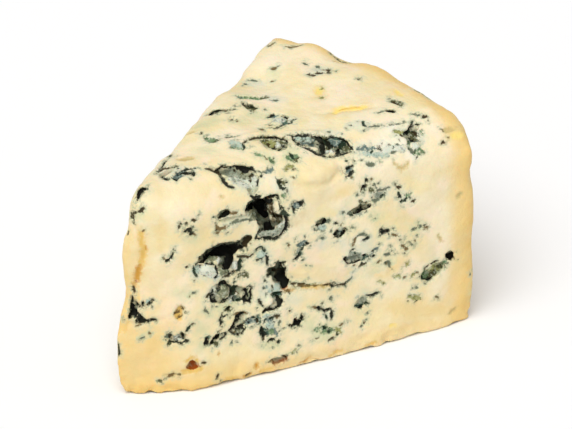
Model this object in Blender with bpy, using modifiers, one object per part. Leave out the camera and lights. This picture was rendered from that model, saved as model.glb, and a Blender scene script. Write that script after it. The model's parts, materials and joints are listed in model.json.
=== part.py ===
"""Blue cheese wedge: about a ninth of a wheel that was first halved flat.

Metres, +Z up. The wedge lies on the rind of its flat side. The origin is at the
middle of its base's box, +X runs from the blunt tip to the round rind, and the two
tall cut faces open to both sides of the XZ plane.

A place on the front cut is given by how far along it lies from the wheel's centre and
how high up. A place on the top is given by the same length along the front cut and by
how far it lies behind the front cut's plane.
"""
import math
from collections import namedtuple

import bmesh
import bpy
from mathutils import Matrix, Vector

MM = 0.001

# Driving dimensions
WHEEL_RADIUS = 101.6 * MM
WEDGE_ANGLE = math.radians(41.0)
WEDGE_HEIGHT = 58.3 * MM
TIP_SET_BACK = 6.2 * MM       # from the wheel's centre to the blunt tip
BACK_LEAN = math.radians(2.2)  # the back cut leans in towards the top
RIND_FLARE = 2.0 * MM         # the round rind swells towards the base
WHEEL_SIDES = 144
WHEEL_CENTRE = Vector((-54.9 * MM, -1.2 * MM, 0.0))
HALF_ANGLE = WEDGE_ANGLE / 2

# The front cut bends away from its plane near the tip
CHEEK_START = 25.0 * MM       # along the front cut
CHEEK_TURN = math.radians(17.0)

# The top's edges have slumped: each slope is (reach back over the top, drop down the side)
FRONT_SLUMP = (10.0 * MM, 5.5 * MM)
TIP_SLUMP = (9.0 * MM, 8.0 * MM)
TIP_FOOT = (2.0 * MM, 4.0 * MM)      # how far back and how far up the tip's foot is worn off
RIM_ROUNDING = 4.5 * MM
EDGE_ROUNDING = 3.0 * MM
BASE_ROUNDING = 1.2 * MM

# Surface
SURFACE_STEP = 3.0 * MM       # distance between the surface's points
SPARE_BASE = 4.0 * MM         # paste below the base, taken off once the sides are shaped
SOFTENING = 4
WAVES = (("broad", 30.0 * MM, 2.2 * MM), ("close", 10.0 * MM, 0.9 * MM))  # name, size, height
WIDE_HOLLOW = 10.0            # millimetres: longer hollows are made in finer steps
RAGGED_SIZE = 4.5 * MM
RAGGED_SHARE = 0.75           # a hollow's raggedness, as a share of its smallest size

UP = Vector((0.0, 0.0, 1.0))
TIPWARD = Vector((-1.0, 0.0, 0.0))
ALONG = Vector((math.cos(HALF_ANGLE), -math.sin(HALF_ANGLE), 0.0))
FRONT_OUT = Vector((-math.sin(HALF_ANGLE), -math.cos(HALF_ANGLE), 0.0))
BACK_ALONG = Vector((math.cos(HALF_ANGLE), math.sin(HALF_ANGLE), 0.0))
BACK_OUT = Vector((-math.sin(HALF_ANGLE), math.cos(HALF_ANGLE), 0.0))
TOP_CENTRE = WHEEL_CENTRE + UP * WEDGE_HEIGHT

# A face's frame: a point of it, its two directions and the way it looks
Face = namedtuple("Face", "origin along across out")
FRONT = Face(WHEEL_CENTRE, ALONG, UP, FRONT_OUT)
TOP = Face(TOP_CENTRE, ALONG, -FRONT_OUT, UP)
BACK = Face(WHEEL_CENTRE, BACK_ALONG, UP, BACK_OUT)
EDGE_OUT = (FRONT_OUT * FRONT_SLUMP[1] + UP * FRONT_SLUMP[0]).normalized()
EDGE = Face(TOP_CENTRE - UP * FRONT_SLUMP[1], ALONG, EDGE_OUT.cross(ALONG), EDGE_OUT)

TIP = Face(WHEEL_CENTRE - TIPWARD * TIP_SET_BACK, Vector((0.0, 1.0, 0.0)), UP, TIPWARD)

# Open hollows in the paste, in millimetres: the middle's place on its face, length along
# the face, breadth across it, depth, and the turn from the face's length in degrees
Hollow = namedtuple("Hollow", "name face place length breadth depth turn")
HOLLOWS = (
    Hollow("deep_pocket", FRONT, (43.3, 45.3), 11.0, 9.5, 8.0, -35.0),
    Hollow("open_mouth", FRONT, (32.0, 37.3), 14.0, 5.5, 8.0, 8.0),
    Hollow("pebble_bed", FRONT, (33.5, 26.0), 11.5, 6.5, 3.0, -8.0),
    Hollow("black_shaft", FRONT, (45.8, 27.8), 5.0, 9.5, 6.5, 5.0),
    Hollow("grey_lens", FRONT, (67.6, 41.8), 5.5, 2.6, 3.0, 18.0),
    Hollow("rind_pit", FRONT, (90.0, 17.8), 8.0, 4.0, 3.0, 18.0),
    Hollow("leaf_crevice", TOP, (62.5, 9.8), 16.0, 6.0, 4.0, -32.0),
    Hollow("arched_pit", TOP, (49.5, 14.0), 10.0, 8.0, 3.5, 10.0),
    Hollow("sooty_pit", TOP, (86.3, 6.5), 3.4, 8.0, 4.0, 8.0),
    Hollow("oily_crevice", TOP, (76.0, 19.8), 9.0, 3.0, 1.8, -12.0),
    Hollow("edge_crevice", EDGE, (38.0, 5.2), 14.0, 7.5, 5.0, -28.0),
    Hollow("rear_split", TOP, (44.5, 33.0), 9.0, 2.4, 2.2, -16.0),
    Hollow("tip_split", TOP, (22.0, 11.8), 10.0, 2.4, 2.0, -18.0),
    Hollow("tip_crack", TIP, (1.5, 29.5), 12.0, 3.2, 3.0, 8.0),
    Hollow("back_mouth", BACK, (70.0, 36.0), 12.0, 5.0, 6.0, -12.0),
    Hollow("back_shaft", BACK, (52.0, 22.0), 5.0, 8.0, 5.0, 20.0),
    Hollow("back_pocket", BACK, (36.0, 41.0), 8.0, 6.0, 4.5, 30.0),
)

# Places pressed in, or swollen where the depth is below zero: middle, radius and depth
Dent = namedtuple("Dent", "face place radius depth")
DENTS = (
    Dent(TOP, (80.5, 52.5), 7.0, -1.6),
    Dent(TOP, (87.5, 46.5), 4.5, 1.6),
    Dent(TOP, (75.0, 60.0), 6.5, -1.3),
    Dent(TOP, (60.5, 45.0), 12.0, 2.4),
    Dent(TOP, (35.0, 25.0), 6.0, -0.6),
    Dent(TOP, (28.0, 17.5), 6.0, 0.8),
    Dent(FRONT, (101.5, 42.8), 5.0, 1.6),
    Dent(FRONT, (58.0, 51.5), 8.0, -0.7),
    Dent(TIP, (0.5, 29.5), 8.0, 3.2),
    Dent(TIP, (1.0, 44.0), 9.0, -0.9),
)


def place_on(face, place):
    """The point of a face's plane at a place given in millimetres."""
    return face.origin + face.along * place[0] * MM + face.across * place[1] * MM


def clear_scene():
    """Start from an empty file."""
    for item in list(bpy.data.objects):
        bpy.data.objects.remove(item, do_unlink=True)


def new_collection(name):
    """A collection under the scene's own."""
    collection = bpy.data.collections.new(name)
    bpy.context.scene.collection.children.link(collection)
    return collection


def new_object(name, shape, collection):
    """Turn a bmesh into an object of a collection."""
    mesh = bpy.data.meshes.new(name)
    shape.to_mesh(mesh)
    shape.free()
    item = bpy.data.objects.new(name, mesh)
    collection.objects.link(item)
    return item


def modify(item, kind, **settings):
    """Add a modifier with its settings."""
    modifier = item.modifiers.new(kind.title(), kind)
    for name, value in settings.items():
        setattr(modifier, name, value)


def bake_modifiers(item):
    """Replace the object's mesh with what its modifiers make of it."""
    graph = bpy.context.evaluated_depsgraph_get()
    baked = bpy.data.meshes.new_from_object(item.evaluated_get(graph))
    item.modifiers.clear()
    item.data = baked


def add_waves(item, name, size, height):
    """Make a surface uneven with clouds of one size."""
    texture = bpy.data.textures.new(name, "CLOUDS")
    texture.noise_scale = size
    texture.noise_depth = 1
    modify(item, "DISPLACE", texture=texture, strength=height, mid_level=0.5)


def slice_off(shape, point, outward):
    """Cut along a plane, drop what lies outside it and close the cut."""
    everything = shape.verts[:] + shape.edges[:] + shape.faces[:]
    cut = bmesh.ops.bisect_plane(
        shape, geom=everything, dist=1e-6, plane_co=point, plane_no=outward, clear_outer=True
    )
    rim = [item for item in cut["geom_cut"] if isinstance(item, bmesh.types.BMEdge)]
    bmesh.ops.edgeloop_fill(shape, edges=rim)
    return rim


def slump(shape, foot, outward, reach, drop):
    """Slope the top down to a side: the foot is a point of the side at the top's height."""
    slice_off(shape, foot - UP * drop, outward * drop + UP * reach)


def sliced_wheel():
    """The wheel cut to a wedge with a blunt tip, sloping top edges and a rounded rim."""
    shape = bmesh.new()
    depth = WEDGE_HEIGHT + SPARE_BASE
    middle = WHEEL_CENTRE + UP * (WEDGE_HEIGHT - SPARE_BASE) / 2
    bmesh.ops.create_cone(
        shape, cap_ends=True, segments=WHEEL_SIDES, radius1=WHEEL_RADIUS + RIND_FLARE,
        radius2=WHEEL_RADIUS, depth=depth, matrix=Matrix.Translation(middle),
    )
    rim = [edge for edge in shape.edges if all(v.co.z > WEDGE_HEIGHT - 1e-5 for v in edge.verts)]
    bmesh.ops.bevel(
        shape, geom=rim, offset=RIM_ROUNDING, segments=4, profile=0.5, affect="EDGES"
    )
    tip = TOP_CENTRE - TIPWARD * TIP_SET_BACK
    cheek_out = Matrix.Rotation(-CHEEK_TURN, 3, UP) @ FRONT_OUT
    slice_off(shape, TOP_CENTRE, FRONT_OUT)
    slice_off(shape, TOP_CENTRE, BACK_OUT + UP * math.tan(BACK_LEAN))
    slice_off(shape, TOP_CENTRE + ALONG * CHEEK_START, cheek_out)
    slice_off(shape, tip, TIPWARD)
    slump(shape, TOP_CENTRE, FRONT_OUT, *FRONT_SLUMP)
    slump(shape, tip, TIPWARD, *TIP_SLUMP)
    foot = WHEEL_CENTRE - TIPWARD * TIP_SET_BACK + UP * TIP_FOOT[1]
    slice_off(shape, foot, TIPWARD * TIP_FOOT[1] - UP * TIP_FOOT[0])
    return shape


def press_dents(item):
    """Press the surface in, or swell it, round each dent's middle."""
    points = item.data.vertices
    for dent in DENTS:
        middle = place_on(dent.face, dent.place)
        radius = dent.radius * MM
        for point in points:
            nearness = 1.0 - (point.co - middle).length / radius
            if nearness > 0.0:
                ease = nearness * nearness * (3.0 - 2.0 * nearness)
                point.co -= point.normal * dent.depth * MM * ease


def flat_base(item):
    """Take the spare paste off, so the wedge stands on a flat base with a soft edge."""
    shape = bmesh.new()
    shape.from_mesh(item.data)
    rim = slice_off(shape, Vector((0.0, 0.0, 0.0)), -UP)
    bmesh.ops.bevel(
        shape, geom=rim, offset=BASE_ROUNDING, segments=2, profile=0.5, affect="EDGES"
    )
    bmesh.ops.dissolve_degenerate(shape, dist=1e-5, edges=shape.edges[:])
    shape.to_mesh(item.data)
    shape.free()


def hollow_cutter(hollow, collection):
    """A ragged lens that lies in its face and reaches the hollow's depth below it."""
    face = hollow.face
    turn = math.radians(hollow.turn)
    length_way = face.along * math.cos(turn) + face.across * math.sin(turn)
    breadth_way = face.across * math.cos(turn) - face.along * math.sin(turn)
    depth_way = length_way.cross(breadth_way)
    axes = (
        length_way * hollow.length / 2 * MM,
        breadth_way * hollow.breadth / 2 * MM,
        depth_way * hollow.depth * MM,
    )
    frame = Matrix(axes).transposed()
    shape = bmesh.new()
    detail = 3 if hollow.length >= WIDE_HOLLOW else 2
    bmesh.ops.create_icosphere(shape, subdivisions=detail, radius=1.0)
    middle = place_on(face, hollow.place)
    for point in shape.verts:
        point.co = frame @ point.co + middle
    cutter = new_object(f"{hollow.name}_cutter", shape, collection)
    cutter.hide_render = True
    cutter.display_type = "WIRE"
    smallest = min(hollow.length / 2, hollow.breadth / 2, hollow.depth) * MM
    add_waves(cutter, "ragged", RAGGED_SIZE, smallest * RAGGED_SHARE)
    return cutter


def cheese_material():
    """Pale cream paste with a dull, slightly greasy surface."""
    material = bpy.data.materials.new("cheese_paste")
    material.use_nodes = True
    shader = material.node_tree.nodes["Principled BSDF"]
    shader.inputs["Base Color"].default_value = (0.84, 0.71, 0.42, 1.0)
    shader.inputs["Roughness"].default_value = 0.5
    shader.inputs["Metallic"].default_value = 0.0
    return material


def build():
    """The whole wedge, one solid."""
    clear_scene()
    parts = new_collection("blue_cheese_wedge")
    cutters = new_collection("cutters")
    wedge = new_object("cheese_wedge", sliced_wheel(), parts)
    modify(
        wedge, "BEVEL", width=EDGE_ROUNDING, segments=3, limit_method="ANGLE",
        angle_limit=math.radians(12.0),
    )
    modify(wedge, "REMESH", mode="VOXEL", voxel_size=SURFACE_STEP)
    modify(wedge, "SMOOTH", factor=0.5, iterations=SOFTENING)
    for wave in WAVES:
        add_waves(wedge, *wave)
    bake_modifiers(wedge)
    press_dents(wedge)
    flat_base(wedge)
    for hollow in HOLLOWS:
        cutter = hollow_cutter(hollow, cutters)
        modify(wedge, "BOOLEAN", operation="DIFFERENCE", solver="EXACT", object=cutter)
    wedge.data.materials.append(cheese_material())


build()
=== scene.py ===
"""Looks of the blue cheese wedge: creamy paste, blue-green mould and a thin yellow rind.

Metres, +Z up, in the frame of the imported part. Places on a side are in millimetres: on
the front and back cuts, how far along from the wheel's centre and how high up; on the
top, how far along the front cut and how far behind it; on the tip, how far across and
how high up; on the rind, how far round and how high up.
"""
import json
import logging
import math
import random
from dataclasses import dataclass
from enum import Enum

import bmesh
import bpy
import numpy as np
from mathutils import Matrix, Vector, noise
from mathutils.bvhtree import BVHTree

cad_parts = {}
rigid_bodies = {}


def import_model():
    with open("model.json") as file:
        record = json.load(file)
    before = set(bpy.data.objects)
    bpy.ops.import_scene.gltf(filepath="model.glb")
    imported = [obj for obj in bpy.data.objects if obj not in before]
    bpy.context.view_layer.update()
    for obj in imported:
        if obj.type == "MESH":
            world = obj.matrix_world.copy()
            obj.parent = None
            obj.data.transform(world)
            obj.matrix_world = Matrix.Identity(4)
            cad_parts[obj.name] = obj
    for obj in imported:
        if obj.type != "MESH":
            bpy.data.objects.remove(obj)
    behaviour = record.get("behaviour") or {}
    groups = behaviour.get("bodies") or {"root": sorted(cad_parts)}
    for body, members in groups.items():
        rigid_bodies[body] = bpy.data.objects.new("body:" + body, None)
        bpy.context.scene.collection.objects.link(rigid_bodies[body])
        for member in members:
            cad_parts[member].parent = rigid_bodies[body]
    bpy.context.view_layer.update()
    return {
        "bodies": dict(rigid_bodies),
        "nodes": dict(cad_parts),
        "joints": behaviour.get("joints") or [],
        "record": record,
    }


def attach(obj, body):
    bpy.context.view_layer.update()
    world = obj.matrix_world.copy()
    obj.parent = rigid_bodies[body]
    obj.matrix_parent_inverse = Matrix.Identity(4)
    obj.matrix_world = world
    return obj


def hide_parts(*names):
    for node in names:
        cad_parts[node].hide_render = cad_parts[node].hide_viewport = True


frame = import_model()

LOG = logging.getLogger("blue_cheese_wedge")
MM = 0.001
UP = Vector((0.0, 0.0, 1.0))
TIPWARD = Vector((-1.0, 0.0, 0.0))

Place = tuple[float, float]
Colour = tuple[float, float, float]


class Side(Enum):
    """The wedge's sides."""

    FRONT = "front cut"
    BACK = "back cut"
    TOP = "top"
    EDGE = "slumped edge between top and front"
    TIP = "blunt tip"
    RIND = "round rind"
    BASE = "base"


class Layer(Enum):
    """The layers that colour the paste, the lowest first."""

    BLOOM = "bloom"
    STAIN = "stain"
    MOULD = "mould"
    INK = "ink"


def linear(red: int, green: int, blue: int) -> Colour:
    """Turn a colour as seen on a screen, 0 to 255, into linear light.

    Args:
        red, green, blue: The colour's parts.

    Returns:
        The same colour's linear parts, 0 to 1.
    """
    parts = (part / 255 for part in (red, green, blue))
    return tuple(p / 12.92 if p <= 0.04045 else ((p + 0.055) / 1.055) ** 2.4 for p in parts)


@dataclass(frozen=True)
class Pigment:
    """One colour of mould or stain, and how deep it is pitted, in millimetres."""

    layer: Layer
    colour: Colour
    carve: float = 0.0


# Pale halos that grade into the paste
MILK = Pigment(Layer.BLOOM, linear(240, 236, 216))
HAZE = Pigment(Layer.BLOOM, linear(216, 219, 196))
SAGE = Pigment(Layer.BLOOM, linear(210, 212, 168))
STRAW = Pigment(Layer.BLOOM, linear(236, 210, 146))
# Fawn: a halo tone, and also painted shade along the crease under the slumped front edge
FAWN = Pigment(Layer.BLOOM, linear(216, 196, 146))
# Warm, oily stains
BUTTER = Pigment(Layer.STAIN, linear(246, 220, 132), 0.15)
HONEY = Pigment(Layer.STAIN, linear(228, 190, 104), 0.15)
AMBER = Pigment(Layer.STAIN, linear(206, 152, 58), 0.3)
RUST = Pigment(Layer.STAIN, linear(156, 76, 0), 0.4)
TAN = Pigment(Layer.STAIN, linear(206, 185, 126), 0.3)
# Mould that fills veins and hollows
FROST = Pigment(Layer.MOULD, linear(218, 222, 204), -0.25)
MINT = Pigment(Layer.MOULD, linear(178, 196, 180), -0.1)
ASH = Pigment(Layer.MOULD, linear(150, 157, 138), 0.15)
SLATE = Pigment(Layer.MOULD, linear(98, 118, 114), 0.35)
TEAL = Pigment(Layer.MOULD, linear(54, 88, 74), 0.4)
MOSS = Pigment(Layer.MOULD, linear(104, 134, 92), 0.3)
STONE = Pigment(Layer.MOULD, linear(124, 128, 98), -0.2)
RIB = Pigment(Layer.MOULD, linear(126, 114, 84), -0.1)
OLIVE = Pigment(Layer.MOULD, linear(84, 84, 46), 0.3)
LICHEN = Pigment(Layer.MOULD, linear(156, 156, 92), 0.2)
# Dark lines and pits
# Near-black mould in the veins; inside the deep hollows it is also painted shade for their black
# hearts
BLACK_MOULD_AND_SHADE = Pigment(Layer.INK, linear(3, 3, 1), 1.2)
INK = Pigment(Layer.INK, linear(18, 23, 10), 0.55)
PINE = Pigment(Layer.INK, linear(34, 52, 34), 0.45)
UMBER = Pigment(Layer.INK, linear(64, 52, 27), 0.35)
SMOKE = Pigment(Layer.INK, linear(100, 108, 88), 0.2)
BARK = Pigment(Layer.INK, linear(118, 98, 60), 0.25)


@dataclass(frozen=True)
class Mark:
    """A stroke or spot of one pigment on a side, half_width in millimetres."""

    pigment: Pigment
    half_width: float
    points: tuple[Place, ...]


def strokes(*rows: tuple) -> tuple[Mark, ...]:
    """Turn the rows of a table into marks.

    Args:
        rows: For each mark its pigment, its half width and the places it runs through.

    Returns:
        The marks, in the rows' order.
    """
    return tuple(Mark(pigment, half_width, tuple(points)) for pigment, half_width, *points in rows)


@dataclass(frozen=True)
class Lobe:
    """A rounded lens, in millimetres; a hollow is cut by some, and a lump is one."""

    place: Place
    length: float
    breadth: float
    depth: float
    turn: float = 0.0


@dataclass(frozen=True)
class Ridge:
    """A long low swelling of the paste, or a crease where the height is below zero."""

    side: Side
    half_width: float
    height: float
    points: tuple[Place, ...]


FRONT_MARKS = strokes(
    # Deep pocket near the top edge: black heart of near-black mould and painted shade, grey wall,
    # ribs, pale crescent lip
    (ASH, 1.1, (41.5, 41.3), (43.5, 40.4), (46, 40.4), (48.2, 42)),
    (FROST, 0.7, (46.8, 41.6), (48.2, 42.6)),
    (STONE, 1, (39.4, 48.2), (40.2, 46.8), (41.8, 46)),
    (RIB, 0.6, (44.4, 49.4), (44.8, 47.4), (45.6, 45.4)),
    (RIB, 0.9, (45.4, 44.2), (47, 44.2)),
    (OLIVE, 0.4, (45.8, 43.4), (47.2, 43.6)),
    (BLACK_MOULD_AND_SHADE, 1.5, (41.2, 49.2), (42.6, 48), (42.8, 46.6)),
    (BLACK_MOULD_AND_SHADE, 0.5, (42, 50.2), (44.6, 50.2), (46.6, 50.5)),
    (BLACK_MOULD_AND_SHADE, 0.6, (38.4, 48.6), (39.6, 50), (41.5, 50.5)),
    (UMBER, 0.25, (44, 49.8), (43.9, 47.6), (44.6, 46)),
    (UMBER, 0.25, (45.2, 49.9), (44.9, 48), (45.3, 45.5)),
    (INK, 0.22, (46.9, 50.2), (47.2, 48.6), (47.7, 47.4), (47.2, 45.8)),
    (BLACK_MOULD_AND_SHADE, 0.9, (43.3, 44.2), (43.6, 42.8), (44.8, 42.2)),
    (BLACK_MOULD_AND_SHADE, 0.5, (42, 42.2), (43.2, 42.4), (45.4, 42)),
    (INK, 0.3, (41.6, 42.6), (40.9, 41), (40.2, 40.2)),
    (INK, 0.4, (40.3, 40), (42.6, 39.6), (45.4, 38.7), (47.4, 39.3)),
    (BLACK_MOULD_AND_SHADE, 0.45, (47.4, 39.3), (49, 41), (49.2, 42.8), (48.4, 44.2)),
    (PINE, 0.6, (48, 45.9), (48.6, 44.4), (49.6, 44)),
    (PINE, 0.4, (47.2, 44.8), (48.2, 46.2)),
    (UMBER, 0.3, (45.2, 45.2), (46.8, 44.9), (48.2, 44.2)),
    # Black star with its tail, over a pale groove
    (HAZE, 1, (31.6, 46.8), (33.5, 46.6), (36.5, 46.8), (39.5, 46.4)),
    (SMOKE, 0.2, (32.5, 45.4), (35, 46), (38, 45.9), (42, 45)),
    (BARK, 0.3, (29.7, 47), (30.2, 45.7), (31.2, 45.2), (33, 45.5)),
    (BLACK_MOULD_AND_SHADE, 0.5, (30.7, 48.7), (31.9, 49.2), (33.3, 48.9)),
    (BLACK_MOULD_AND_SHADE, 0.35, (31, 48.6), (31.1, 47.6)),
    (BLACK_MOULD_AND_SHADE, 0.35, (32.3, 49), (32.7, 48.1)),
    (BARK, 0.4, (33.4, 49), (34.6, 48.6), (35.6, 48.5)),
    (BARK, 0.3, (30, 44.2)),
    (TAN, 0.3, (28.9, 42.1)),
    # Flecks left of it
    (UMBER, 0.28, (20.3, 46.9), (21, 48.1)),
    (INK, 0.38, (21, 48.2)),
    (UMBER, 0.3, (22, 48.2), (22.8, 48.9)),
    (UMBER, 0.38, (23.6, 49.1), (24.3, 49.3)),
    (SMOKE, 0.3, (23.6, 47.4)),
    (INK, 0.38, (21.6, 45.8), (22.4, 46.5), (23.2, 46.8)),
    (INK, 0.3, (22.6, 46.2), (23.1, 45.1), (24, 44.9)),
    (BARK, 0.28, (23.8, 44.9), (24.6, 44.5)),
    (SAGE, 0.8, (22.5, 43.2), (24.4, 43.6)),
    # Hook
    (INK, 0.28, (19.4, 41.4), (19.3, 40.5), (18.8, 39.4), (18.4, 38.5)),
    (INK, 0.28, (18.4, 38.5), (17.3, 37.9)),
    (BARK, 0.2, (17.6, 38.2), (16.8, 39.3)),
    # Open mouth: black throat of near-black mould and painted shade, brown corners, pale mould
    # below it
    (HAZE, 1.6, (24.5, 34), (27.5, 33), (30, 31.5)),
    (FROST, 1.3, (26.5, 34.6), (28.2, 33.6), (29.4, 31.9)),
    (MINT, 0.6, (25.4, 34.8), (24.4, 34.2)),
    (STONE, 1.2, (31.2, 33.6), (32.4, 32.4)),
    (STONE, 1.1, (27.4, 37), (29.4, 37)),
    (FROST, 0.6, (30.2, 36.6), (30.8, 35.8)),
    (FROST, 1, (34.9, 34.2), (35.4, 33)),
    (SLATE, 0.7, (36.1, 34.4), (35.8, 33)),
    (BLACK_MOULD_AND_SHADE, 1.4, (29, 38.9), (31.5, 38.6), (34.5, 38.2)),
    (BLACK_MOULD_AND_SHADE, 0.7, (29.6, 40), (32, 39.9), (35, 39.3), (36.8, 38.9)),
    (BLACK_MOULD_AND_SHADE, 1.2, (33, 37.4), (32.8, 35.4), (32.5, 34.2)),
    (BLACK_MOULD_AND_SHADE, 0.6, (26.6, 37.6), (27.8, 39.2), (29.4, 40)),
    (INK, 0.4, (25.1, 35.9), (26.2, 36.9), (27.4, 38.4)),
    (UMBER, 0.75, (36.6, 39.4), (38, 40.3), (39, 40.3)),
    (UMBER, 0.4, (37.4, 39.6), (37.8, 38.6)),
    (INK, 0.3, (27, 35.7), (28.6, 35.5), (29.7, 35.1)),
    (INK, 0.35, (29.8, 34.8), (29.9, 33.6), (30.2, 32.6)),
    (BLACK_MOULD_AND_SHADE, 0.35, (29.2, 31.6), (29.6, 31.8)),
    (UMBER, 0.3, (31, 31.5), (33.2, 31.2)),
    (BLACK_MOULD_AND_SHADE, 0.55, (33.6, 32), (34.4, 31.5)),
    (PINE, 0.45, (36.4, 35.2), (36.4, 33.6), (36.2, 32)),
    (PINE, 0.4, (35.2, 32.2), (36.2, 32.2)),
    (OLIVE, 0.4, (35, 30.3), (36.6, 30.5), (38.2, 30)),
    (PINE, 0.3, (24.3, 35.4), (24.2, 33.8), (24.8, 32.8)),
    (UMBER, 0.25, (22.2, 35.2), (22.7, 36)),
    (UMBER, 0.35, (35.6, 36.2), (37.4, 36), (38.6, 35.2), (39.6, 35.8)),
    # Blue curl right of the mouth
    (HAZE, 1.8, (42, 35), (43.5, 34.5)),
    (MINT, 1.1, (41.6, 35.3), (42.8, 34.8)),
    (PINE, 0.25, (40.6, 36.6), (42.2, 36.9), (43.6, 35.9)),
    (PINE, 0.35, (40.7, 33.7), (42, 33.7), (43, 34.5)),
    (INK, 0.3, (43.3, 34.6), (43.8, 33.2), (43.6, 31.6)),
    # Pebble bed: two grey stones in dark rings, green crumbs between
    (HAZE, 1.2, (29, 28.6), (29, 26)),
    (FROST, 0.4, (28.9, 28.4), (28.9, 26.4)),
    (STONE, 1.9, (31.5, 27.8), (31.5, 26.6)),
    (TEAL, 0.9, (34, 24.4), (35.4, 24)),
    (FROST, 0.7, (33.6, 23.8), (34.8, 25.8)),
    (STONE, 0.8, (38, 25), (38, 23.8)),
    (BLACK_MOULD_AND_SHADE, 0.35, (30.2, 28.4), (30.9, 29.5), (32.2, 29.6), (33.2, 28.2)),
    (INK, 0.25, (30, 28.8), (29.5, 27.4)),
    (INK, 0.35, (33.5, 28.2), (33.8, 26.4), (33.2, 24.8)),
    (BLACK_MOULD_AND_SHADE, 0.45, (28.8, 26.6), (28.9, 25.2), (29.8, 24.6)),
    (BLACK_MOULD_AND_SHADE, 0.4, (29.8, 24.6), (31.6, 24.3), (33, 24.3)),
    (INK, 0.25, (28.7, 28), (28.8, 26.6)),
    (UMBER, 0.35, (27.2, 26.2), (28.6, 27.2)),
    (PINE, 0.35, (34.6, 28), (34.2, 26.8), (35.4, 27.6)),
    (PINE, 0.4, (33.9, 26.2), (34.6, 24.9)),
    (INK, 0.35, (34.4, 25.4), (34.6, 23.4)),
    (PINE, 0.45, (35.2, 23.6), (36.6, 23.4)),
    (BLACK_MOULD_AND_SHADE, 0.5, (37, 26.4), (37.5, 25.2), (37.2, 23.8), (37.3, 22.6)),
    (BLACK_MOULD_AND_SHADE, 0.35, (37.3, 22.5), (38.8, 22.3), (39.1, 23.8), (39.2, 25.4)),
    (INK, 0.3, (38, 26.4), (39, 26.5), (39.3, 25.6)),
    # Black shaft: near-black mould and painted shade down its hollow, spiky head, stone under it,
    # black bow at its foot
    (HAZE, 1.8, (43.6, 26.4), (43.4, 22.6)),
    (MILK, 0.9, (44, 22.2), (44.2, 20.8)),
    (MINT, 0.35, (43.4, 25.4), (44.4, 23.8)),
    (SMOKE, 0.15, (42.4, 25.6), (43.2, 24.2), (43, 22.8)),
    (MINT, 1.1, (46.2, 24.3)),
    (TEAL, 0.8, (45.4, 22.6), (47, 22.2)),
    (BLACK_MOULD_AND_SHADE, 1.2, (46.8, 29), (46.8, 27)),
    (BLACK_MOULD_AND_SHADE, 0.9, (47.4, 27), (48.4, 25), (48.8, 25.4)),
    (BLACK_MOULD_AND_SHADE, 0.4, (46.4, 31.8), (46.7, 30.4), (47.6, 29.6)),
    (BLACK_MOULD_AND_SHADE, 0.35, (46.7, 30.8), (48.4, 31.2)),
    (INK, 0.4, (48.3, 29.6), (48, 28)),
    (UMBER, 0.45, (45, 30), (45.8, 29.6)),
    (INK, 0.45, (43.7, 28.6), (44.6, 28.8)),
    (PINE, 0.25, (43, 28), (42.8, 26.8), (43.4, 26.8)),
    (UMBER, 0.25, (45, 25.4), (45.1, 24)),
    (RUST, 0.5, (47.8, 24), (48.8, 23.8)),
    (BARK, 0.3, (48.8, 23), (50, 22.9)),
    (PINE, 0.4, (44.6, 23), (45.8, 22.8), (47.2, 22.9)),
    (INK, 0.4, (46, 22), (46.4, 20.8), (46.2, 20.2)),
    (INK, 0.3, (41.4, 22.2), (41.8, 20.8), (42.6, 19.8)),
    (BLACK_MOULD_AND_SHADE, 0.5, (42.6, 18.4), (44, 18.9), (45.6, 18.8)),
    (BLACK_MOULD_AND_SHADE, 0.65, (45.4, 18.8), (46.6, 19.2), (47, 20.6)),
    (UMBER, 0.25, (49.8, 24.3), (52, 24), (54.4, 23.2)),
    (BARK, 0.25, (51, 23.6), (55, 22.6), (58, 22.2)),
    (HONEY, 0.5, (53, 22.8), (57, 22), (60.6, 21.4)),
    (LICHEN, 0.3, (54.2, 23), (56.4, 22.6)),
    (AMBER, 0.25, (56.6, 22), (59.4, 21.4)),
    (OLIVE, 0.3, (52.2, 23.8), (53.6, 23.4)),
    (AMBER, 0.3, (48.6, 23.6), (50.4, 22.8)),
    (UMBER, 0.3, (58.6, 21.8), (60.4, 21.6), (62.2, 22)),
    (INK, 0.3, (61.4, 21.6), (61.4, 20.9)),
    (UMBER, 0.25, (61.8, 21.2), (63.6, 20.9), (65, 20.6)),
    (INK, 0.35, (65.1, 20.9), (65, 20.1)),
    (SMOKE, 0.25, (65.4, 20.8), (66.3, 21.8)),
    # Blue-green clusters below the shaft
    (HAZE, 1.6, (43.5, 15.4), (44.6, 13.2)),
    (SLATE, 0.5, (43, 16.2), (44.2, 15.4)),
    (TEAL, 0.9, (42, 13), (43, 11.8)),
    (MINT, 0.7, (43.6, 14.6), (44.8, 13.4)),
    (SLATE, 0.4, (45.6, 12.6), (46.2, 10.8)),
    (MINT, 0.5, (42.4, 17.4), (43.8, 17.2)),
    (TEAL, 0.4, (41, 17.6), (41.4, 15.8)),
    (MOSS, 0.7, (43.8, 12.2), (45.2, 12)),
    (INK, 0.35, (42, 14.2), (42.1, 12.8), (42.9, 12)),
    (INK, 0.4, (41.8, 11.8), (43, 11.2)),
    (UMBER, 0.35, (42.4, 10.8), (42.3, 10.2)),
    (INK, 0.35, (43.6, 9.5), (44.4, 9.9), (45.4, 9.6)),
    (INK, 0.35, (46, 8.8), (47, 8.7)),
    (UMBER, 0.4, (45.2, 16.4), (46.6, 16.5)),
    (PINE, 0.3, (42.8, 16), (42.7, 15.2)),
    (PINE, 0.3, (44, 16), (44.8, 16.2)),
    (SMOKE, 0.3, (47, 15), (46.8, 13.8)),
    (SMOKE, 0.3, (46.8, 11.8)),
    (SMOKE, 0.3, (44.8, 7.6)),
    (SAGE, 1.3, (42, 9.2), (45.5, 8.2)),
    # Black blob and streak towards the middle
    (BLACK_MOULD_AND_SHADE, 0.65, (51.2, 12.8), (52.4, 13.4)),
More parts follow.
